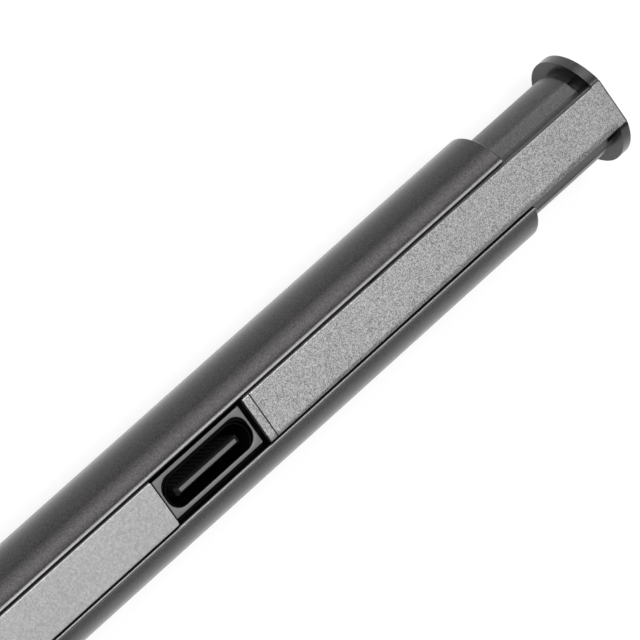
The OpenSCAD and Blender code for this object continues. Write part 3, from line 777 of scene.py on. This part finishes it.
@dataclass
class Strips:
    """The flat strip along the channel: its fixed parts, and the two buttons set in it.

    Attributes:
        half: Half the strip's width.
        corner: Radius of its corners in plan.
        soft: Rounding of its upper edges along its sides, and at its ends.
        soft_steps: Steps across that rounding.
        fixed: Name, CAD node and both ends of each fixed part.
        buttons: Name, CAD node, body and front end of each button.
        button_len: Length of a button.
        button_top: Height of a button's face.
        button_edge: Rounding of a button's upper edges.
        ledge: Half width and both heights of the ledge that keeps a button in.
    """

    half: float = 1.975
    corner: float = 0.12
    soft: Pair = (0.08, 0.035)
    soft_steps: int = 6
    fixed: tuple[tuple[str, str, float, float], ...] = (
        ("front_strip", "nose_strip", 26.2, 33.6),
        ("long_strip", "main_strip", 53.3, 103.725),
    )
    buttons: tuple[tuple[str, str, str, float], ...] = (
        ("lower_key_cap", "lower_button", "lower_key", 33.9),
        ("upper_key_cap", "upper_button", "upper_key", 43.6),
    )
    button_len: float = 9.4
    button_top: float = 4.42761
    button_edge: float = 0.09
    ledge: Point = (2.6, 2.421, 2.771)

    def build(self) -> None:
        """Makes the fixed parts of the strip and both buttons."""
        for name, node, start, end in self.fixed:
            piece = PieceMesh()
            piece.stack(self.plate(start, end))
            piece.finish(name, "pen", Slot.STRIP, [node], [FINE_STRIP])
        for name, node, body, start in self.buttons:
            piece = self.button(start, start + self.button_len)
            piece.finish(name, body, Slot.STRIP, [node], [FINE_STRIP])

    def plate(self, start: float, end: float) -> list[Level]:
        """Gives the levels of a plate whose upper edges are rounded.

        Args:
            start: Place of its front end.
            end: Place of its back end.

        Returns:
            Heights, each with its places and offsets.
        """
        levels = [(STRIP_LOW, rounded_plan(start, end, self.half, self.corner))]
        side, tip = self.soft
        for depth, inward in quarter_round(side, self.soft_steps):
            drawn = tip - math.sqrt(tip**2 - (tip - min(depth, tip)) ** 2)
            plan = rounded_plan(start + drawn, end - drawn, self.half - inward, self.corner)
            levels.append((STRIP_TOP - depth, plan))
        return levels

    def button(self, start: float, end: float) -> PieceMesh:
        """Makes a button: a cap with softened edges on a wider ledge.

        Args:
            start: Place of its front end.
            end: Place of its back end.

        Returns:
            The button's mesh.
        """
        half, low, high = self.ledge
        cap = PieceMesh()
        plan = rounded_plan(start, end, self.half, self.corner * 2)
        cap.stack([(low, plan), (self.button_top, plan)])
        face_low = self.button_top - self.button_edge
        cap.round_edges(self.button_edge, lambda e: min(v.co.z for v in e.verts) > face_low)
        ledge = [(start, -half), (end, -half), (end, half), (start, half)]
        cap.stack([(low, ledge), (high, ledge)])
        return cap


@dataclass
class Nose:
    """The nose cone and the nib that stands out of it.

    Attributes:
        mouth: Place of the cone's mouth.
        length: Length of the cone outside the barrel.
        mouth_r: Radius of the mouth.
        end_r: Radius of the cone where it meets the barrel.
        bulge: How much the side swells outwards.
        lip: Rounding of the mouth.
        spigot: Radius and back end of the part in the barrel.
        groove: Front and back end and depth radius of the seal's groove.
        wells: Places and radii down the steps of the inside, from the spigot to the mouth.
        steps: Steps along the cone's side.
        point_r: Radius of the nib's point.
        point_turn: How far round the ball of the point goes, in degrees.
        nib_r: Radius of the nib's shank.
        taper_end: Place where the nib's taper ends.
        shank_end: Place where its shank ends.
        bevel: Bevel of that end.
        tail: Radius and back end of its tail.
        sides: Flat sides round the nib.
    """

    mouth: float = 2.6
    length: float = 17.4
    mouth_r: float = 1.5
    end_r: float = 4.65
    bulge: float = 0.45
    lip: float = 0.12
    spigot: Pair = (3.825, 25.8)
    groove: Point = (22.72, 23.08, 3.48)
    wells: tuple[Pair, ...] = (
        (25.8, 2.65), (20.45, 2.65), (20.45, 1.78), (8.5, 1.78),
        (8.5, 1.38), (7.65, 1.38), (7.65, 0.93), (2.6, 0.93),
    )
    steps: int = 40
    point_r: float = 0.45
    point_turn: int = 80
    nib_r: float = 0.85
    taper_end: float = 2.3
    shank_end: float = 9.0
    bevel: float = 0.1
    tail: Pair = (0.6, 11.4)
    sides: int = 64

    def build(self) -> None:
        """Turns both pieces."""
        cone = PieceMesh()
        cone.turned(self.cone_profile(), closed=True)
        cone.finish("nose_shell", "pen", Slot.NOSE, ["nose_cone"])
        nib = PieceMesh()
        nib.turned(self.nib_profile(), self.sides)
        nib.finish("nib_tip", "nib_unit", Slot.NIB, ["nib"])

    def cone_profile(self) -> list[Pair]:
        """Gives the cone's outside, its spigot with the seal's groove, and its inner wells.

        Returns:
            Places and radii.
        """
        lip = reversed(quarter_round(self.lip))
        profile = [(self.mouth + back, self.mouth_r - inward) for back, inward in lip]
        # The lip's rounding takes the place of the side's first step.
        for s in (i / self.steps for i in range(2, self.steps + 1)):
            swell = 4 * self.bulge * s * (1 - s)
            radius = self.mouth_r + (self.end_r - self.mouth_r) * s + swell
            profile.append((self.mouth + self.length * s, radius))
        spigot_r, spigot_end = self.spigot
        front, back, depth = self.groove
        shoulder = self.mouth + self.length
        profile += [(shoulder, spigot_r), (front, spigot_r), (front, depth), (back, depth)]
        return profile + [(back, spigot_r), (spigot_end, spigot_r), *self.wells]

    def nib_profile(self) -> list[Pair]:
        """Gives the nib's ball point, taper, shank and tail.

        Returns:
            Places and radii.
        """
        turns = [math.radians(a) for a in range(0, self.point_turn + 1, 10)]
        ball = [(self.point_r * (1 - math.cos(a)), self.point_r * math.sin(a)) for a in turns]
        tail_r, tail_end = self.tail
        return ball + [
            (self.taper_end, self.nib_r),
            (self.taper_end + self.bevel, self.nib_r),
            (self.shank_end - self.bevel, self.nib_r),
            (self.shank_end, self.nib_r - self.bevel),
            (self.shank_end, tail_r),
            (tail_end, tail_r),
            (tail_end, 0),
        ]


def oblong_plan(
    centre: Pair, length: float, width: float, corner: float | None = None
) -> list[Pair]:
    """Gives a long hole with round ends, its length along the pen.

    Args:
        centre: Place and offset of its middle.
        length: Its length over both ends.
        width: Its width.
        corner: Radius of its corners; half its width when it isn't given.

    Returns:
        Places and offsets, those of one end and then those of the other.
    """
    radius = width / 2 if corner is None else corner
    reach, rest = length / 2 - radius, width / 2 - radius
    end = []
    for i in range(END_STEPS + 1):
        angle = math.radians(180 * i / END_STEPS - 90)
        way = (i > END_STEPS / 2) - (i < END_STEPS / 2)
        end.append((reach + radius * math.cos(angle), way * rest + radius * math.sin(angle)))
    return [(centre[0] + side * x, centre[1] + side * y) for side in (1, -1) for x, y in end]


def frame_plan(centre: float, half_length: float, half: float) -> list[Pair]:
    """Gives a rectangle with as many points as oblong_plan, so that both can be spanned.

    Args:
        centre: Place of its middle.
        half_length: Half its length.
        half: Half its width.

    Returns:
        Places and offsets, those of one end and then those of the other.
    """
    end = []
    for i in range(END_STEPS + 1):
        # A stretch of one long side, then the end in two stretches, then one of the other side.
        share = 4 * i / END_STEPS
        short = half * max(1 - share, share - 3, 0)
        end.append((half_length - short, half * min(max(share - 2, -1), 1)))
    return [(centre + side * x, side * y) for side in (1, -1) for x, y in end]


@dataclass
class Port:
    """The charging port: its bezel, and the receptacle's shell, tongue and contacts.

    Attributes:
        centre: Place of its middle along the pen.
        offset: How far the receptacle lies off the middle line, as the photograph shows it.
        opening: Length and width of the receptacle's inside.
        sheet: Thickness of its shell.
        hole: Length and width of the bezel's hole, and the radius of its corners.
        room: What the well below the hole has over the hole's length and the shell's width.
        plate: Half length and half width of the bezel's plate.
        foot: Half length of the bezel's foot, and its radius under the barrel's wall.
        foot_low: Height of the foot's underside.
        foot_top: Height of the foot's upper side.
        rim: Height of the shell's rim.
        top: Height of the bezel's face.
        floor: Height of the board that the receptacle stands on.
        base: Thickness of the tongue's base.
        tongue: Width and thickness of the tongue.
        corner: Radius of its corners in plan, up to nine tenths of half its thickness.
        tip: How far the tip's face draws in from the tongue's ends and sides, and the bevel's height.
        tip_edge: Rounding of the tip's face.
        contacts: Contacts on each side of the tongue.
        pitch: Spacing of the contacts.
        contact: Width and thickness of a contact.
        contact_span: Heights of its ends.
        softened: Rounding of the bezel's upper edges.
    """

    centre: float = 108.7
    offset: float = -0.27
    opening: Pair = (8.34, 2.56)
    sheet: float = 0.13
    hole: Point = (8.94, 2.76, 1.16)
    room: float = 0.02
    plate: Pair = (4.65, 1.71)
    foot: Pair = (4.8375, 3.8)
    foot_low: float = 2.201
    foot_top: float = 2.901
    rim: float = 3.501
    top: float = 3.771
    floor: float = -2.7
    base: float = 0.5
    tongue: Pair = (6.69, 0.7)
    corner: float = 0.12
    tip: Point = (0.3, 0.18, 0.3)
    tip_edge: float = 0.06
    contacts: int = 12
    pitch: float = 0.5
    contact: Pair = (0.25, 0.06)
    contact_span: Pair = (-1.6, 2.6)
    softened: float = 0.08

    def build(self) -> None:
        """Makes the bezel, the shell, the tongue and the contacts."""
        self.bezel()
        self.shell()
        self.tongue_piece()
        self.contact_rows()

    def outline(self, grow: float = 0.0) -> list[Pair]:
        """Gives the opening's outline in plan, wider by grow on each side."""
        length, width = self.opening
        return oblong_plan((self.centre, self.offset), length + 2 * grow, width + 2 * grow)

    def bezel(self) -> None:
        """Spans the bezel from its hole, down round the shell, and up its foot and sides."""
        piece = PieceMesh()
        foot_length, radius = self.foot
        hole = oblong_plan((self.centre, 0), *self.hole)
        well = oblong_plan(
            (self.centre, self.offset),
            self.hole[0] + self.room,
            self.opening[1] + 2 * self.sheet + self.room,
        )
        levels = [(self.top, hole), (self.rim, hole), (self.rim, well), (self.foot_low, well)]
        steps = 5
        for i in range(steps + 1):
            height = self.foot_low + (self.foot_top - self.foot_low) * i / steps
            side = math.sqrt(radius**2 - height**2)
            levels.append((height, frame_plan(self.centre, foot_length, side)))
        plan = frame_plan(self.centre, *self.plate)
        piece.stack(levels + [(self.foot_top, plan), (self.top, plan)], closed=True)
        face_low = self.top - self.softened
        piece.round_edges(self.softened, lambda e: max(v.co.z for v in e.verts) > face_low)
        # Faces below the grey face get the near-black finish, which is painted shade in the gap and the
        # hole.
        for face in piece.mesh.faces:
            face.material_index = 0 if face.calc_center_median().z > face_low else 1
        finishes = [FINISHES[Slot.BEZEL], BEZEL_PAINTED_SHADE]
        piece.finish("port_surround", "pen", Slot.BEZEL, ["port_bezel"], finishes)

    def shell(self) -> None:
        """Spans the receptacle's shell, with a rolled rim."""
        piece = PieceMesh()
        roll, steps = self.sheet / 2, 8
        levels = [(self.floor, self.outline())]
        for i in range(steps + 1):
            angle = math.pi * i / steps
            plan = self.outline(roll * (1 - math.cos(angle)))
            levels.append((self.rim - roll * (1 - math.sin(angle)), plan))
        piece.stack(levels + [(self.floor, self.outline(self.sheet))], closed=True)
        piece.finish("receptacle_shell", "pen", Slot.SHELL, ["port_shell"])

    def tongue_piece(self) -> None:
        """Raises the tongue and its base, and bevels the tongue's tip to a narrow face that is painted
        pale as a highlight.
        """
        piece = PieceMesh()
        base = self.outline()
        piece.stack([(self.floor, base), (self.floor + self.base, base)])
        ends, sides, bevel = self.tip
        width, thick = self.tongue
        face_low = self.rim - self.tip_edge
        levels = []
        for height, share, edge in (
            (self.floor, 0.0, 0.0),
            (self.rim - bevel, 0.0, 0.0),
            (face_low, 1.0, 0.0),
            (self.rim, 1.0, self.tip_edge),
        ):
            reach = width / 2 - ends * share - edge
            half = thick / 2 - sides * share - edge
            corner = min(self.corner, half * 0.9)
            plan = rounded_plan(self.centre - reach, self.centre + reach, half, corner)
            levels.append((height, [(x, y + self.offset) for x, y in plan]))
        piece.stack(levels)
        # Faces on the tip's rounding and face get the pale finish, a painted highlight.
        for face in piece.mesh.faces:
            face.material_index = 1 if face.calc_center_median().z > face_low else 0
        finishes = [FINISHES[Slot.TONGUE], TONGUE_TIP_HIGHLIGHT]
        piece.finish("receptacle_tongue", "pen", Slot.TONGUE, ["port_tongue"], finishes)

    def contact_rows(self) -> None:
        """Lays the contacts along both sides of the tongue, their tips bent into it."""
        piece = PieceMesh()
        width, thick = self.contact
        low, high = self.contact_span
        first = self.centre - self.pitch * (self.contacts - 1) / 2 - width / 2
        for side in (-1, 1):
            inner = self.offset + side * self.tongue[1] / 2
            outer = inner + side * thick
            profile = ((inner, low), (outer, low), (outer, high - 2 * thick), (inner, high))
            for start in (first + self.pitch * i for i in range(self.contacts)):
                piece.span([(start, profile), (start + width, profile)])
        piece.finish("receptacle_contacts", "pen", Slot.GOLD, ["port_contacts"])


@dataclass
class TailSlider:
    """The tail slider: plug and rail with the arm over the port, its strip, lip and flange.

    Attributes:
        radius: Radius of the plug.
        front: Place of the plug's front end.
        flange: Place of the flange's front face.
        end: Place of the flange's end face.
        rail: Half width of the rail.
        strip: Half width of the strip's end and of its notch in the flange.
        flat: Outer edge of the flats beside the rail, from the middle line.
        fillet: Radius of the hollow between a flat and the rail.
        seam: Height of the mould's seam along the flats' outer edge, its width on the flat, and
            the turn that it takes up on the round, in degrees.
        groove: Place, length and radius of the friction clip's groove.
        neck: Length and depth of the relief in front of the flange.
        pocket: How deep the neck is cut beside the rail.
        chamfer: Chamfer of the plug's edge at the neck.
        cavity: Radius of the plug's inside, and thickness of its front wall.
        guide: Radius of the guide screw's hole.
        lip: Place and length of the lip at the port's end.
        hook: How far the lip reaches down in front of the arm, along the pen.
        lip_seam: Seam between the lip and the strip.
        inset: How far a face is held back where two would fall together.
        end_line: How far the strip ends before the flange's end face.
        web_low: Height of the underside of the arm's web.
        skirt: Thickness and lower edge of the arm's side skirts.
        flange_r: Radius of the flange.
        flange_flat: Height of the flat on top of the flange.
        flange_edge: Rounding of the flange's rim.
        flange_rim: Width of the ring along that rim in which edges are rounded.
        spigot: Radius and length of the flange's spigot in the plug, and its depth in the flange.
        edge: Chamfer of the rail's upper edges.
        plus_side: Offset of the strip's crisp side, at its front and at the flange.
        minus_side: The same of its other side, whose edge is eased.
        narrowing: Power by which the crisp side draws in along the strip.
        crisp: Rounding of the crisp side's edge, at its front and at the flange.
        eased: Width over which the other edge slopes down, at its front and at the flange.
        slope: How steep that slope ends.
        soft: Rounding of the edges at the strip's and the lip's ends.
        soft_steps: Steps across that rounding.
        end_wall: Thickness of the flange's wall behind the strip's end.
        sides: Steps round the plug.
        flange_sides: Steps round the flange.
        spigot_sides: Steps round its spigot.
    """

    radius: float = 3.787
    front: float = 127.95
    flange: float = 152.73
    end: float = 153.6
    rail: float = 2.03
    strip: float = 1.93
    flat: float = 3.03
    fillet: float = 0.5
    seam: Point = (0.04, 0.06, 0.8)
    groove: Point = (133.95, 1.2, 3.51)
    neck: Pair = (0.62, 0.22)
    pocket: float = 0.5
    chamfer: float = 0.05
    cavity: Pair = (1.9, 2.0)
    guide: float = 1.08
    lip: Pair = (113.675, 0.68)
    hook: float = 0.24
    lip_seam: float = 0.08
    inset: float = 0.01
    end_line: float = 0.07
    web_low: float = 3.92761
    skirt: Pair = (0.25, 3.32761)
    flange_r: float = 4.74
    flange_flat: float = 4.24761
    flange_edge: float = 0.07
    flange_rim: float = 0.15
    spigot: Point = (1.875, 3.0, 0.3)
    edge: float = 0.1
    plus_side: Pair = (1.975, 1.84)
    minus_side: Pair = (1.975, 1.93)
    narrowing: float = 1.8
    crisp: Pair = (0.085, 0.04)
    eased: Pair = (0.27, 0.5)
    slope: float = 0.36
    soft: float = 0.035
    soft_steps: int = 3
    end_wall: float = 0.06
    sides: int = 96
    flange_sides: int = 120
    spigot_sides: int = 48

    def build(self) -> None:
        """Makes the carrier, the strip, the lip and the flange."""
        self.carrier()
        self.strip_plate()
        self.lip_piece()
        self.flange_piece()

    def section(self, radius: float, flats: bool, pocket: float = 0.0) -> list[Pair]:
        """Gives the section across plug and rail, always with as many points.

        Args:
            radius: The plug's radius there.
            flats: Whether the shoulders beside the rail are cut flat.
            pocket: How deep they are cut instead, below the plug's round.

        Returns:
            Offsets and heights, from one flat's outer edge round the underside to the rail.
        """
        steps, floor = 6, radius - pocket
        edge, foot = math.asin(self.flat / self.radius), math.asin(self.rail / floor)
        start, end = math.degrees(edge), math.degrees(foot)
        height, _, turn = self.seam
        crest = radius + (height if flats else 0)
        shoulder = [(crest * math.sin(edge), crest * math.cos(edge))]
        if flats:
            corner = (radius * math.sin(edge), radius * math.cos(edge))
            inner = (floor * math.sin(foot), floor * math.cos(foot))
            shoulder += self.flat_points(corner, inner, steps)
        elif pocket:
            shoulder += arc(floor, start, end, steps - 1)
        else:
            shoulder += arc(floor, start, end, steps)[1:]
        shoulder += [(self.rail, STRIP_LOW - self.edge), (self.rail - self.edge, STRIP_LOW)]
        around = arc(radius, start + turn, 360 - turn - start, self.sides)
        return around + [(-y, h) for y, h in shoulder] + shoulder[::-1]

    def flat_points(self, corner: Pair, inner: Pair, steps: int) -> list[Pair]:
        """Gives the points of a flat beside the rail, with the hollow at the rail's foot.

        Args:
            corner: The flat's outer edge.
            inner: Where the flat would meet the rail's side.
            steps: How many points are wanted.

        Returns:
            Offsets and heights, from beside the seam to the rail's side.
        """
        turn = math.atan2(corner[0] - inner[0], inner[1] - corner[1])
        length = math.dist(corner, inner)
        reach = self.fillet * math.tan(turn / 2)
        shares = (self.seam[1] / length, 1 - reach / length)
        points = [tuple(a + (b - a) * s for a, b in zip(corner, inner)) for s in shares]
        y, height = inner[0] + self.fillet, inner[1] + reach
        for i in range(1, steps - 1):
            angle = turn * (1 - i / (steps - 2))
            points.append((y - self.fillet * math.cos(angle), height - self.fillet * math.sin(angle)))
        return points

    def carrier(self) -> None:
        """Spans the plug and rail along the pen, hollows them, and adds the arm over the port."""
        clip, clip_len, clip_r = self.groove
        neck_len, neck_depth = self.neck
        plug_end, neck_r = self.flange - neck_len, self.radius - neck_depth
        cut = self.pocket - neck_depth
        rows = [
            (x, self.section(radius, flats, pocket))
            for x, radius, flats, pocket in (
                (self.front, self.radius, True, 0),
                (clip, self.radius, True, 0),
                (clip, clip_r, False, 0),
                (clip + clip_len, clip_r, False, 0),
                (clip + clip_len, self.radius, True, 0),
                (plug_end - self.chamfer, self.radius, True, 0),
                (plug_end, self.radius - self.chamfer, True, 0),
                (plug_end, neck_r, False, cut),
                (self.flange, neck_r, False, cut),
            )
        ]
        cavity_r, wall = self.cavity
        outline = self.section(self.radius, False)
        for x, radius in (
            (self.flange, cavity_r),
            (self.front + wall, cavity_r),
            (self.front + wall, self.guide),
            (self.front, self.guide),
        ):
            scales = (radius / math.hypot(y, h) for y, h in outline)
            rows.append((x, [(y * s, h * s) for (y, h), s in zip(outline, scales)]))
        piece = PieceMesh()
        piece.span(rows, closed=True)
        thick, low = self.skirt
        inner = self.rail - thick
        half = [
            (self.rail - self.edge, STRIP_LOW),
            (self.rail, STRIP_LOW - self.edge),
            (self.rail, low),
            (inner, low),
            (inner, self.web_low),
        ]
        outline = half + [(-y, h) for y, h in reversed(half)]
        piece.span([(x, outline) for x in (self.lip[0] + self.hook, self.front + wall / 2)])
        piece.finish("slider_body", "tail_slider", Slot.SLIDER, ["slider_carrier"])

    def strip_section(self, sides: Pair, crisp: float, eased: float, drop: float) -> list[Pair]:
        """Gives the section across the strip, always with as many points.

        Args:
            sides: Offsets of the crisp side and of the eased side.
            crisp: Rounding of the crisp side's edge.
            eased: Width over which the other edge slopes down.
            drop: How far its face lies below its full height, at a rounded end.

        Returns:
            Offsets and heights round the strip.
        """
        plus, minus = sides
        top, steps = STRIP_TOP - drop, 8
        crisp_edge = [(plus - side, top - down) for down, side in quarter_round(crisp, steps)]
        shares = (i / steps for i in range(steps + 1))
        fall = eased * self.slope / 2
        eased_edge = [(eased * (1 - share) - minus, top - fall * share**2) for share in shares]
        return [(plus, STRIP_LOW), *crisp_edge, *eased_edge, (-minus, STRIP_LOW)]

    def along_rail(self, place: float, drop: float = 0.0) -> list[Pair]:
        """Gives the strip's section at a place on the rail.

        Args:
            place: Place along the pen.
            drop: How far its face lies below its full height, at a rounded end.

        Returns:
            Offsets and heights round the strip.
        """
        share = (place - self.lip[0]) / (self.flange - self.lip[0])
        minus, crisp, eased = (
            front + (back - front) * share
            for front, back in (self.minus_side, self.crisp, self.eased)
        )
        front, back = self.plus_side
        plus = front + (back - front) * share**self.narrowing
        return self.strip_section((plus, minus), crisp, eased, drop)

    def strip_plate(self) -> None:
        """Spans the strip on the rail, which narrows up to the flange and fills its notch."""
        start = self.lip[0] + self.lip[1] + self.lip_seam
        end, stop, steps = self.end - self.end_line, self.flange - self.soft, 6
        rim = quarter_round(self.soft, self.soft_steps)
        rows = [(start + along, self.along_rail(start, drop)) for along, drop in reversed(rim)]
        places = (start + (stop - start) * i / steps for i in range(1, steps + 1))
        rows += [(x, self.along_rail(x)) for x in places]
        for x, drop in [(self.flange, 0.0)] + [(end - along, drop) for along, drop in rim]:
            section = self.strip_section((self.strip, self.strip), self.soft, self.soft, drop)
            rows.append((x, section))
        piece = PieceMesh()
        piece.span(rows)
        piece.finish("sliding_strip", "tail_slider", Slot.STRIP, ["slider_strip"])

    def lip_piece(self) -> None:
        """Spans the lip and hangs its hook in front of the arm."""
        start, length = self.lip
        rim = quarter_round(self.soft, self.soft_steps)
        rows = [(start + along, self.along_rail(start, drop)) for along, drop in reversed(rim)]
        rows += [(start + length - along, self.along_rail(start, drop)) for along, drop in rim]
        piece = PieceMesh()
        piece.span(rows)
        side, front, back = self.plus_side[0] - self.inset, start + self.inset, start + self.hook
        hook = [(front, side), (front, -side), (back, -side), (back, side)]
        piece.stack([(self.web_low, hook), (STRIP_LOW + self.inset, hook)])
        piece.finish("sliding_lip", "tail_slider", Slot.STRIP, ["slider_lip"])

    def flange_piece(self) -> None:
        """Draws the D-shaped flange out with its notch for the strip, and adds its spigot."""
        corner = math.degrees(math.acos(self.flange_flat / self.flange_r))
        around = arc(self.flange_r, corner, 360 - corner, self.flange_sides)
        wall, brim = self.end - self.end_wall, STRIP_TOP - self.inset
        rows = []
        for x, height in ((self.flange, STRIP_LOW), (wall, STRIP_LOW), (wall, brim), (self.end, brim)):
            notch = [(self.strip, self.flange_flat), (self.strip, height)]
            rows.append((x, around + [(-y, h) for y, h in notch] + notch[::-1]))
        piece = PieceMesh()
        piece.span(rows)
        piece.round_edges(self.flange_edge, self.on_rim)
        radius, length, depth = self.spigot
        front, back = self.flange - length, self.flange + depth
        profile = [(front, 0), (front, radius), (back, radius), (back, 0)]
        piece.turned(profile, self.spigot_sides)
        piece.finish("tail_flange", "tail_slider", Slot.FLANGE, ["end_flange"])

    def on_rim(self, edge: bmesh.types.BMEdge) -> bool:
        """Tells whether an edge goes round the rim of either face of the flange.

        Args:
            edge: The edge.

        Returns:
            True round the arc and along both ends of the flat, on either face.
        """
        one, two = (v.co for v in edge.verts)
        on_face = abs(one.x - two.x) < LEVEL_WITHIN
        below = max(one.z, two.z) < self.flange_flat + self.inset
        outer = min(one.yz.length, two.yz.length) > self.flange_r - self.flange_rim
        return on_face and below and outer


def dress_cad_nodes() -> None:
    """Gives each CAD node that still shows the finish of its slot in the record."""
    for part in frame["record"]["subparts"]:
        node = frame["nodes"][part["node"]]
        if node.hide_render:
            continue
        finish = FINISHES[Slot(part["material_slot"])]
        for slot in node.material_slots:
            slot.material = finish.material()
        LOG.info("%s: CAD node in %s", part["node"], finish.name)


@dataclass(frozen=True)
class SoftBox:
    """A large soft lamp, which the camera doesn't see.

    Attributes:
        name: The lamp's name.
        angle: Where it hangs round the pen, in degrees from straight up to the negative offset.
        along: How far along the pen from the frame's middle its own middle lies, in metres.
        distance: How far it hangs from the pen, in metres.
        size: Its length along the pen and its width, in metres.
        radiance: How bright its face is, where white is 1.
    """

    name: str
    angle: float
    along: float
    distance: float
    size: Pair
    radiance: float

    def build(self) -> None:
        """Adds the lamp, its long side along the pen and its face to the pen."""
        light = bpy.data.lights.new(self.name, "AREA")
        light.shape = "RECTANGLE"
        light.size, light.size_y = self.size
        light.energy = self.radiance * math.pi * self.size[0] * self.size[1]
        lamp = add_object(self.name, light)
        lamp.visible_camera = False
        turn = math.radians(self.angle)
        back, along = Vector((0, -math.sin(turn), math.cos(turn))), Vector((1, 0, 0))
        lamp.matrix_world = facing(along, back, along * self.along + back * self.distance)


@dataclass
class Studio:
    """A plain pale floor, soft lamps and a pale room.

    Attributes:
        floor_half: Half the floor's width, in metres.
        floor_low: How far it lies below the pen, in metres, so that the two don't fall together.
        floor_colour: sRGB hex colour of the floor.
        glow: What the floor adds to reach white, where the camera sees it.
        shade: Share of the floor's own shading that shows there, which keeps the shadow.
        mirrored: Share of this white floor in what a reflection sees; the rest is plain paper.
        room_colour: sRGB hex colour of the room.
        lamps: The soft lamps.
    """

    floor_half: float = 3.0
    floor_low: float = 2e-5
    floor_colour: str = "#e6e6e6"
    glow: float = 0.82
    shade: float = 0.25
    mirrored: float = 0.4
    room_colour: str = "#959595"
    lamps: tuple[SoftBox, ...] = (
        SoftBox("overhead_softbox", -10, 0.05, 0.55, (0.6, 0.25), 5.2),
        SoftBox("side_softbox", -59, 0.15, 0.55, (0.8, 0.18), 2.5),
        SoftBox("low_left_softbox", -75, 0.25, 0.55, (1.0, 0.15), 1.3),
        SoftBox("low_right_softbox", 78, 0.35, 0.55, (0.8, 0.15), 0.9),
    )

    def build(self) -> None:
        """Makes the floor, the room and the lamps."""
        self.floor()
        self.room()
        for lamp in self.lamps:
            lamp.build()

    def floor(self) -> None:
        """Lays a floor that shows white, yet keeps the pen's soft shadow."""
        half = self.floor_half
        data = bpy.data.meshes.new("studio_floor")
        corners = [(-half, -half, 0), (half, -half, 0), (half, half, 0), (-half, half, 0)]
        data.from_pydata(corners, [], [(0, 1, 2, 3)])
        floor = add_object("studio_floor", data)
        floor.location.z = -self.floor_low
        material = bpy.data.materials.new("floor_paper_white")
        tree = empty_tree(material)
        colour = linear(self.floor_colour)
        faint = tuple(c * self.shade for c in colour[:3]) + (1.0,)
        paper, shaded = (add_node(tree, "BsdfDiffuse", {"Color": c}) for c in (colour, faint))
        glow = add_node(tree, "Emission", {"Strength": self.glow})
        shown = add_node(tree, "AddShader", {0: shaded, 1: glow})
        glossy = add_node(tree, "LightPath", output="Is Glossy Ray")
        seen = add_node(tree, "Math", {0: glossy, 1: self.mirrored}, operation="MULTIPLY")
        for kind in ("Is Camera Ray", "Is Transmission Ray"):
            ray = add_node(tree, "LightPath", output=kind)
            seen = add_node(tree, "Math", {0: seen, 1: ray}, operation="MAXIMUM")
        mixed = add_node(tree, "MixShader", {0: seen, 1: paper, 2: shown})
        add_node(tree, "OutputMaterial", {"Surface": mixed})
        data.materials.append(material)

    def room(self) -> None:
        """Fills the room with an even, pale grey."""
        world = bpy.data.worlds.new("pale_room")
        tree = empty_tree(world)
        air = add_node(tree, "Background", {"Color": linear(self.room_colour)})
        add_node(tree, "OutputWorld", {"Surface": air})
        bpy.context.scene.world = world


@dataclass
class PhotoCamera:
    """The camera at the photograph's viewing angle.

    Attributes:
        aim: The point of the frame in the middle of the picture, in millimetres.
        back: Direction from there to the camera.
        up: Direction that is up in the picture.
        distance: How far the camera stands from there, in millimetres.
        lens: Focal length in millimetres, on a sensor 36 mm wide.
        clip: The nearest and the furthest that it sees, in metres.
    """

    aim: Point = (51.059, -0.636, -2.114)
    back: Point = (-0.40742, 0.25050, 0.87822)
    up: Point = (0.60953, 0.79070, 0.05724)
    distance: float = 578.945
    lens: float = 425.5
    clip: Pair = (0.01, 20.0)

    def build(self) -> None:
        """Adds the camera and makes it the scene's."""
        data = bpy.data.cameras.new("photo_camera")
        data.lens = self.lens
        data.clip_start, data.clip_end = self.clip
        camera = add_object("photo_camera", data)
        back = Vector(self.back).normalized()
        right = Vector(self.up).cross(back).normalized()
        camera.matrix_world = facing(right, back, (Vector(self.aim) + back * self.distance) * MM)
        bpy.context.scene.camera = camera


def main() -> None:
    """Builds the pieces in order, then the studio and the camera."""
    logging.basicConfig(level=logging.INFO, format="%(name)s: %(message)s")
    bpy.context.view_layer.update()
    for assembly in (Barrel(), Strips(), Nose(), Port(), TailSlider()):
        LOG.info("%s", type(assembly).__name__)
        assembly.build()
    dress_cad_nodes()
    Studio().build()
    PhotoCamera().build()
    bpy.context.scene.view_settings.view_transform = "Standard"


if __name__ == "__main__":
    main()
